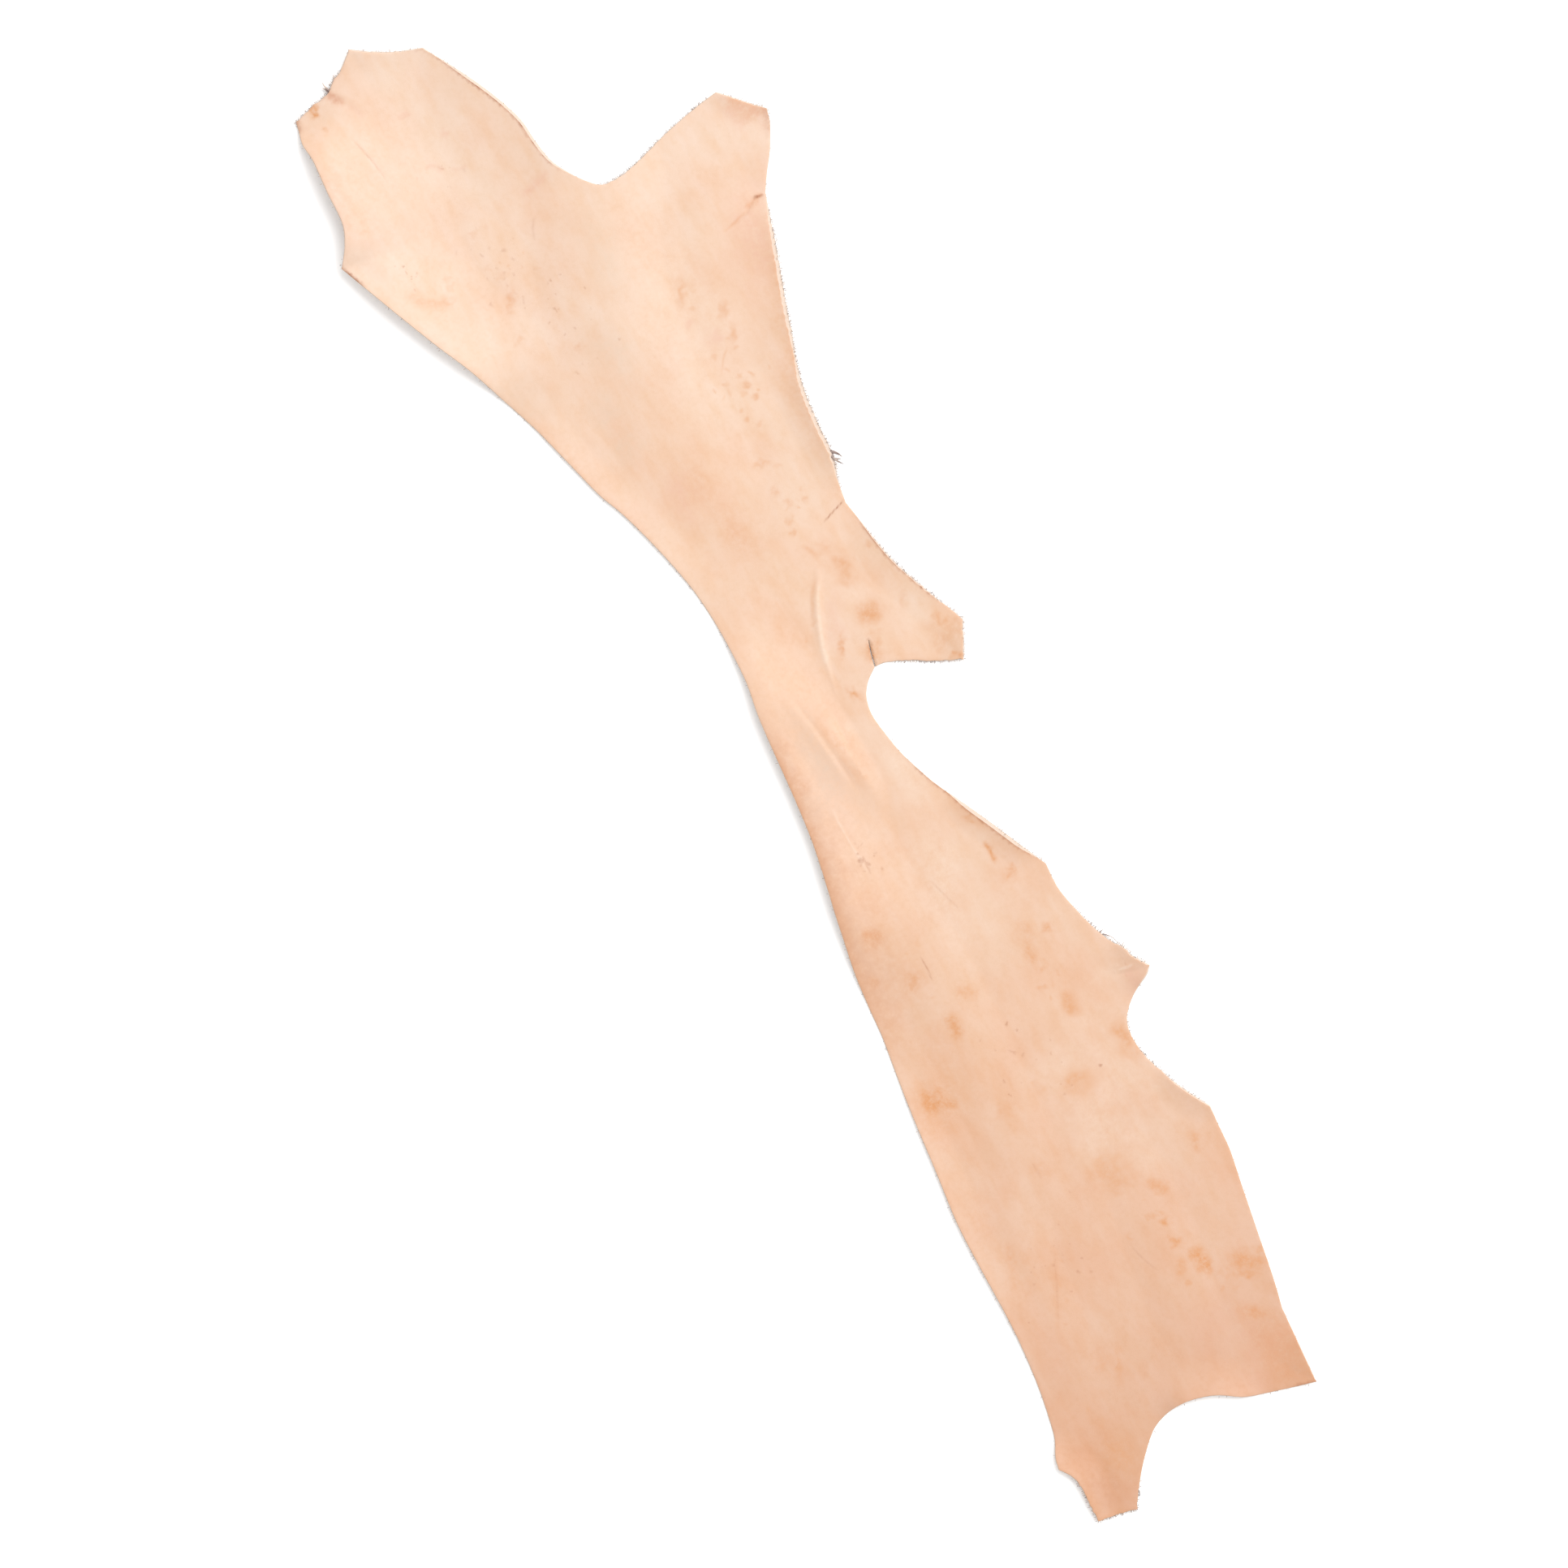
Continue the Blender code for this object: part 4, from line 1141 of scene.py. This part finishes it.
def fibre_tree(material):
    """Geometry Nodes: bent, tapered fibres that stand out of the line along the cut edge."""
    tree = bpy.data.node_groups.new("edge fibres", "GeometryNodeTree")
    tree.interface.new_socket("Edge line", in_out="INPUT", socket_type="NodeSocketGeometry")
    for name, kind, _ in FIBRE_INPUTS:
        tree.interface.new_socket(name, in_out="INPUT", socket_type=kind)
    tree.interface.new_socket("Fibres", in_out="OUTPUT", socket_type="NodeSocketGeometry")
    given = add_node(tree, "NodeGroupInput").outputs
    seed = given["Seed"]

    line = add_node(tree, "GeometryNodeMeshToCurve", {"Mesh": given["Edge line"]}).outputs["Curve"]
    line = add_node(tree, "GeometryNodeResampleCurve", {"Curve": line, "Length": given["Gap"]},
                    mode="LENGTH").outputs["Curve"]
    points = add_node(tree, "GeometryNodeCurveToPoints", {"Curve": line},
                      mode="EVALUATED").outputs["Points"]
    scatter = random_vectors(
        tree, [-most * MM for most in FIBRE_SCATTER], [most * MM for most in FIBRE_SCATTER], seed)
    points = add_node(tree, "GeometryNodeSetPosition", {"Geometry": points, "Offset": scatter})

    start, middle, end = FIBRE_PATH
    bend = add_node(tree, "GeometryNodeCurveQuadraticBezier", {
        "Resolution": FIBRE_BENDS, "Start": start, "Middle": middle, "End": end})
    along = add_node(tree, "GeometryNodeSplineParameter").outputs["Factor"]
    taper = ranged(tree, along, 0.0, 1.0, to=(1.0, FIBRE_TIP))
    bend = add_node(tree, "GeometryNodeSetCurveRadius", {"Curve": bend.outputs[0], "Radius": taper})
    thin = maths(tree, "DIVIDE", given["Width"], given["Length"])
    profile = add_node(tree, "GeometryNodeCurvePrimitiveCircle", {
        "Resolution": FIBRE_SIDES, "Radius": maths(tree, "MULTIPLY", thin, 0.5)})
    fibre = add_node(tree, "GeometryNodeCurveToMesh", {
        "Curve": bend.outputs["Curve"], "Profile Curve": profile.outputs["Curve"], "Fill Caps": True})

    outward = add_node(tree, "GeometryNodeInputNamedAttribute", {"Name": "outward"},
                       data_type="FLOAT_VECTOR").outputs["Attribute"]
    stray = random_vectors(tree, *FIBRE_STRAY, seed)
    aim = add_node(tree, "ShaderNodeVectorMath", {0: outward, 1: stray}, operation="ADD").outputs[0]
    turn = add_node(tree, "FunctionNodeAlignRotationToVector", {"Vector": aim}, axis="Z")
    amount = add_node(tree, "GeometryNodeInputNamedAttribute", {"Name": "fuzz"}).outputs["Attribute"]
    grows = add_node(tree, "FunctionNodeRandomValue", {"Probability": amount, "Seed": seed},
                     data_type="BOOLEAN").outputs[BOOLEAN_VALUE]
    size = add_node(tree, "FunctionNodeRandomValue", {
        LEAST_FLOAT: FIBRE_SHORTEST, MOST_FLOAT: 1.0, "Seed": seed}).outputs[FLOAT_VALUE]
    size = maths(tree, "MULTIPLY", size, given["Length"])
    placed = add_node(tree, "GeometryNodeInstanceOnPoints", {
        "Points": points.outputs["Geometry"], "Selection": grows, "Instance": fibre.outputs["Mesh"],
        "Rotation": turn.outputs["Rotation"], "Scale": size})
    solid = add_node(tree, "GeometryNodeRealizeInstances", {"Geometry": placed.outputs["Instances"]})
    done = add_node(tree, "GeometryNodeSetMaterial", {
        "Geometry": solid.outputs["Geometry"], "Material": material})
    add_node(tree, "NodeGroupOutput", {"Fibres": done.outputs["Geometry"]})
    return tree


def applied(mesh, tree, values, name):
    """The plain mesh that a node tree makes of a mesh, with its named inputs set."""
    guide = add_object(name, mesh)
    modifier = guide.modifiers.new(name, "NODES")
    modifier.node_group = tree
    for item in tree.interface.items_tree:
        if item.in_out == "INPUT" and item.name in values:
            modifier[item.identifier] = values[item.name]
    graph = bpy.context.evaluated_depsgraph_get()
    result = bpy.data.meshes.new_from_object(guide.evaluated_get(graph))
    bpy.data.objects.remove(guide)
    result.name = name
    return result


def add_shred(body, coarse, shred):
    """One torn shred: a flat, bent, tapering strip with closed ends."""
    root, tip = np.array(shred.root, float), np.array(shred.tip, float)
    along = (tip - root) / np.linalg.norm(tip - root)
    root = root - along * SHRED_HOLD
    across = np.array([-along[1], along[0]])
    ground = height_at(coarse, np.array([root]))[0] + SHRED_RISE
    centre = hide_centre()
    rings = []
    for share in np.linspace(0, 1, SHRED_STEPS):
        bow = 4 * share * (1 - share)
        middle = root + (tip - root) * share + across * shred.bow * bow
        half = shred.width / 2 * (1 - share) ** SHRED_TAPER + SHRED_TIP
        z = ground + shred.rise * (0.7 * share + 0.3 * bow)
        ring = []
        for side, lift in SHRED_SECTION:
            place = to_part_frame(np.array([middle + across * side * half]))[0] - centre
            curl = SHRED_CURL * side * shred.width * share
            above = max(z + lift * (1 - share / 2) + curl, SHRED_CLEAR)
            ring.append(body.verts.new((*(place * MM), above * MM)))
        rings.append(ring)
    body.faces.new(rings[0])
    body.faces.new(rings[-1][::-1])
    for low, high in zip(rings, rings[1:]):
        for side in range(4):
            body.faces.new((low[side], high[side], high[side - 3], low[side - 3]))


class LayHide(Operator):
    """Lay out the hide: one closed sheet with its grain side, cut edge and flesh side"""

    bl_idname = "belly.lay_hide"
    bl_label = "Lay out the hide"

    def execute(self, context):
        colours = context.scene.belly_colours
        materials = (grain_leather(colours), cut_leather(colours), flesh_leather(colours))
        hide = new_piece("leather_hide", hide_mesh(context.scene.belly_sizes, materials))
        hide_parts(HIDE_NODE)
        return {"FINISHED"}


class GrowFibres(Operator):
    """Grow loose fibres out of the cut edge"""

    bl_idname = "belly.grow_fibres"
    bl_label = "Grow the edge fibres"

    def execute(self, context):
        sizes = context.scene.belly_sizes
        tree = fibre_tree(loose_fibre(context.scene.belly_colours))
        values = {name: getattr(sizes, size) for name, _, size in FIBRE_INPUTS}
        new_piece("edge_fibres", applied(fibre_line(sizes), tree, values, "edge_fibres"))
        return {"FINISHED"}


class HangShreds(Operator):
    """Hang torn shreds and threads from the torn places of the edge"""

    bl_idname = "belly.hang_shreds"
    bl_label = "Hang the torn shreds"

    def execute(self, context):
        coarse = trace_outline(OUTLINE_STEP)
        body = bmesh.new()
        for shred in SHREDS:
            add_shred(body, coarse, shred)
        bmesh.ops.recalc_face_normals(body, faces=body.faces)
        mesh = bpy.data.meshes.new("torn_shreds")
        body.to_mesh(mesh)
        body.free()
        mesh.materials.append(bpy.data.materials["collagen fibre, loose"])
        mesh.shade_smooth()
        new_piece("torn_shreds", mesh)
        return {"FINISHED"}


class SetStage(Operator):
    """Set up the floor, the lights and the camera straight above the hide"""

    bl_idname = "belly.set_stage"
    bl_label = "Set the stage"

    def execute(self, context):
        stage = context.scene.belly_stage
        half = stage.floor / 2
        mesh = bpy.data.meshes.new("floor")
        mesh.from_pydata([(-half, -half, FLOOR_Z), (half, -half, FLOOR_Z), (half, half, FLOOR_Z),
                          (-half, half, FLOOR_Z)], [], [(0, 1, 2, 3)])
        mesh.materials.append(studio_paper())
        add_object("floor", mesh)

        lamp = bpy.data.lights.new("key light", "AREA")
        lamp.size = stage.key_size
        lamp.energy = stage.key_power
        key = add_object("key light", lamp)
        towards = radians(KEY_SIDE - LAY_ANGLE)
        flat = cos(stage.key_height)
        way = Vector((flat * cos(towards), flat * sin(towards), sin(stage.key_height)))
        key.location = way * stage.key_distance
        key.rotation_euler = way.to_track_quat("Z", "Y").to_euler()

        world = bpy.data.worlds.new("studio")
        world.use_nodes = True
        world.node_tree.nodes["Background"].inputs["Color"].default_value = (1, 1, 1, 1)
        world.node_tree.nodes["Background"].inputs["Strength"].default_value = stage.fill
        context.scene.world = world
        context.scene.view_settings.view_transform = "Standard"

        lens = bpy.data.cameras.new("camera")
        lens.lens = stage.lens
        away = stage.view_width * stage.lens / lens.sensor_width
        camera = add_object("camera", lens)
        middle = to_part_frame(np.array([VIEW_MIDDLE]))[0] - hide_centre()
        camera.location = (*(middle * MM), away)
        camera.rotation_euler = (0, 0, -radians(LAY_ANGLE))
        lens.clip_end = away * 10
        context.scene.camera = camera
        return {"FINISHED"}


class BellyPanel(Panel):
    """Sidebar panel with the leather belly's operators"""

    bl_idname = "VIEW3D_PT_leather_belly"
    bl_label = "Leather belly"
    bl_space_type = "VIEW_3D"
    bl_region_type = "UI"
    bl_category = "Leather"

    def draw(self, context):
        for operator in OPERATORS:
            self.layout.operator(operator.bl_idname)


OPERATORS = (LayHide, GrowFibres, HangShreds, SetStage)
GROUPS = {"belly_sizes": HideSizes, "belly_colours": HideColours, "belly_stage": StageSizes}


def register():
    for group in (*GROUPS.values(), *OPERATORS, BellyPanel):
        bpy.utils.register_class(group)
    for name, group in GROUPS.items():
        setattr(bpy.types.Scene, name, PointerProperty(type=group))


def unregister():
    for name in GROUPS:
        delattr(bpy.types.Scene, name)
    for group in (BellyPanel, *reversed(OPERATORS), *reversed(GROUPS.values())):
        bpy.utils.unregister_class(group)


def declare_sheet():
    """Work out the hide's turned outline and its flat area, which are not used further."""
    outline = to_part_frame(trace_outline(OUTLINE_STEP)) * MM
    outline_area()


def main():
    register()
    bpy.ops.belly.lay_hide()
    bpy.ops.belly.grow_fibres()
    bpy.ops.belly.hang_shreds()
    bpy.ops.belly.set_stage()
    declare_sheet()


if __name__ == "__main__":
    main()
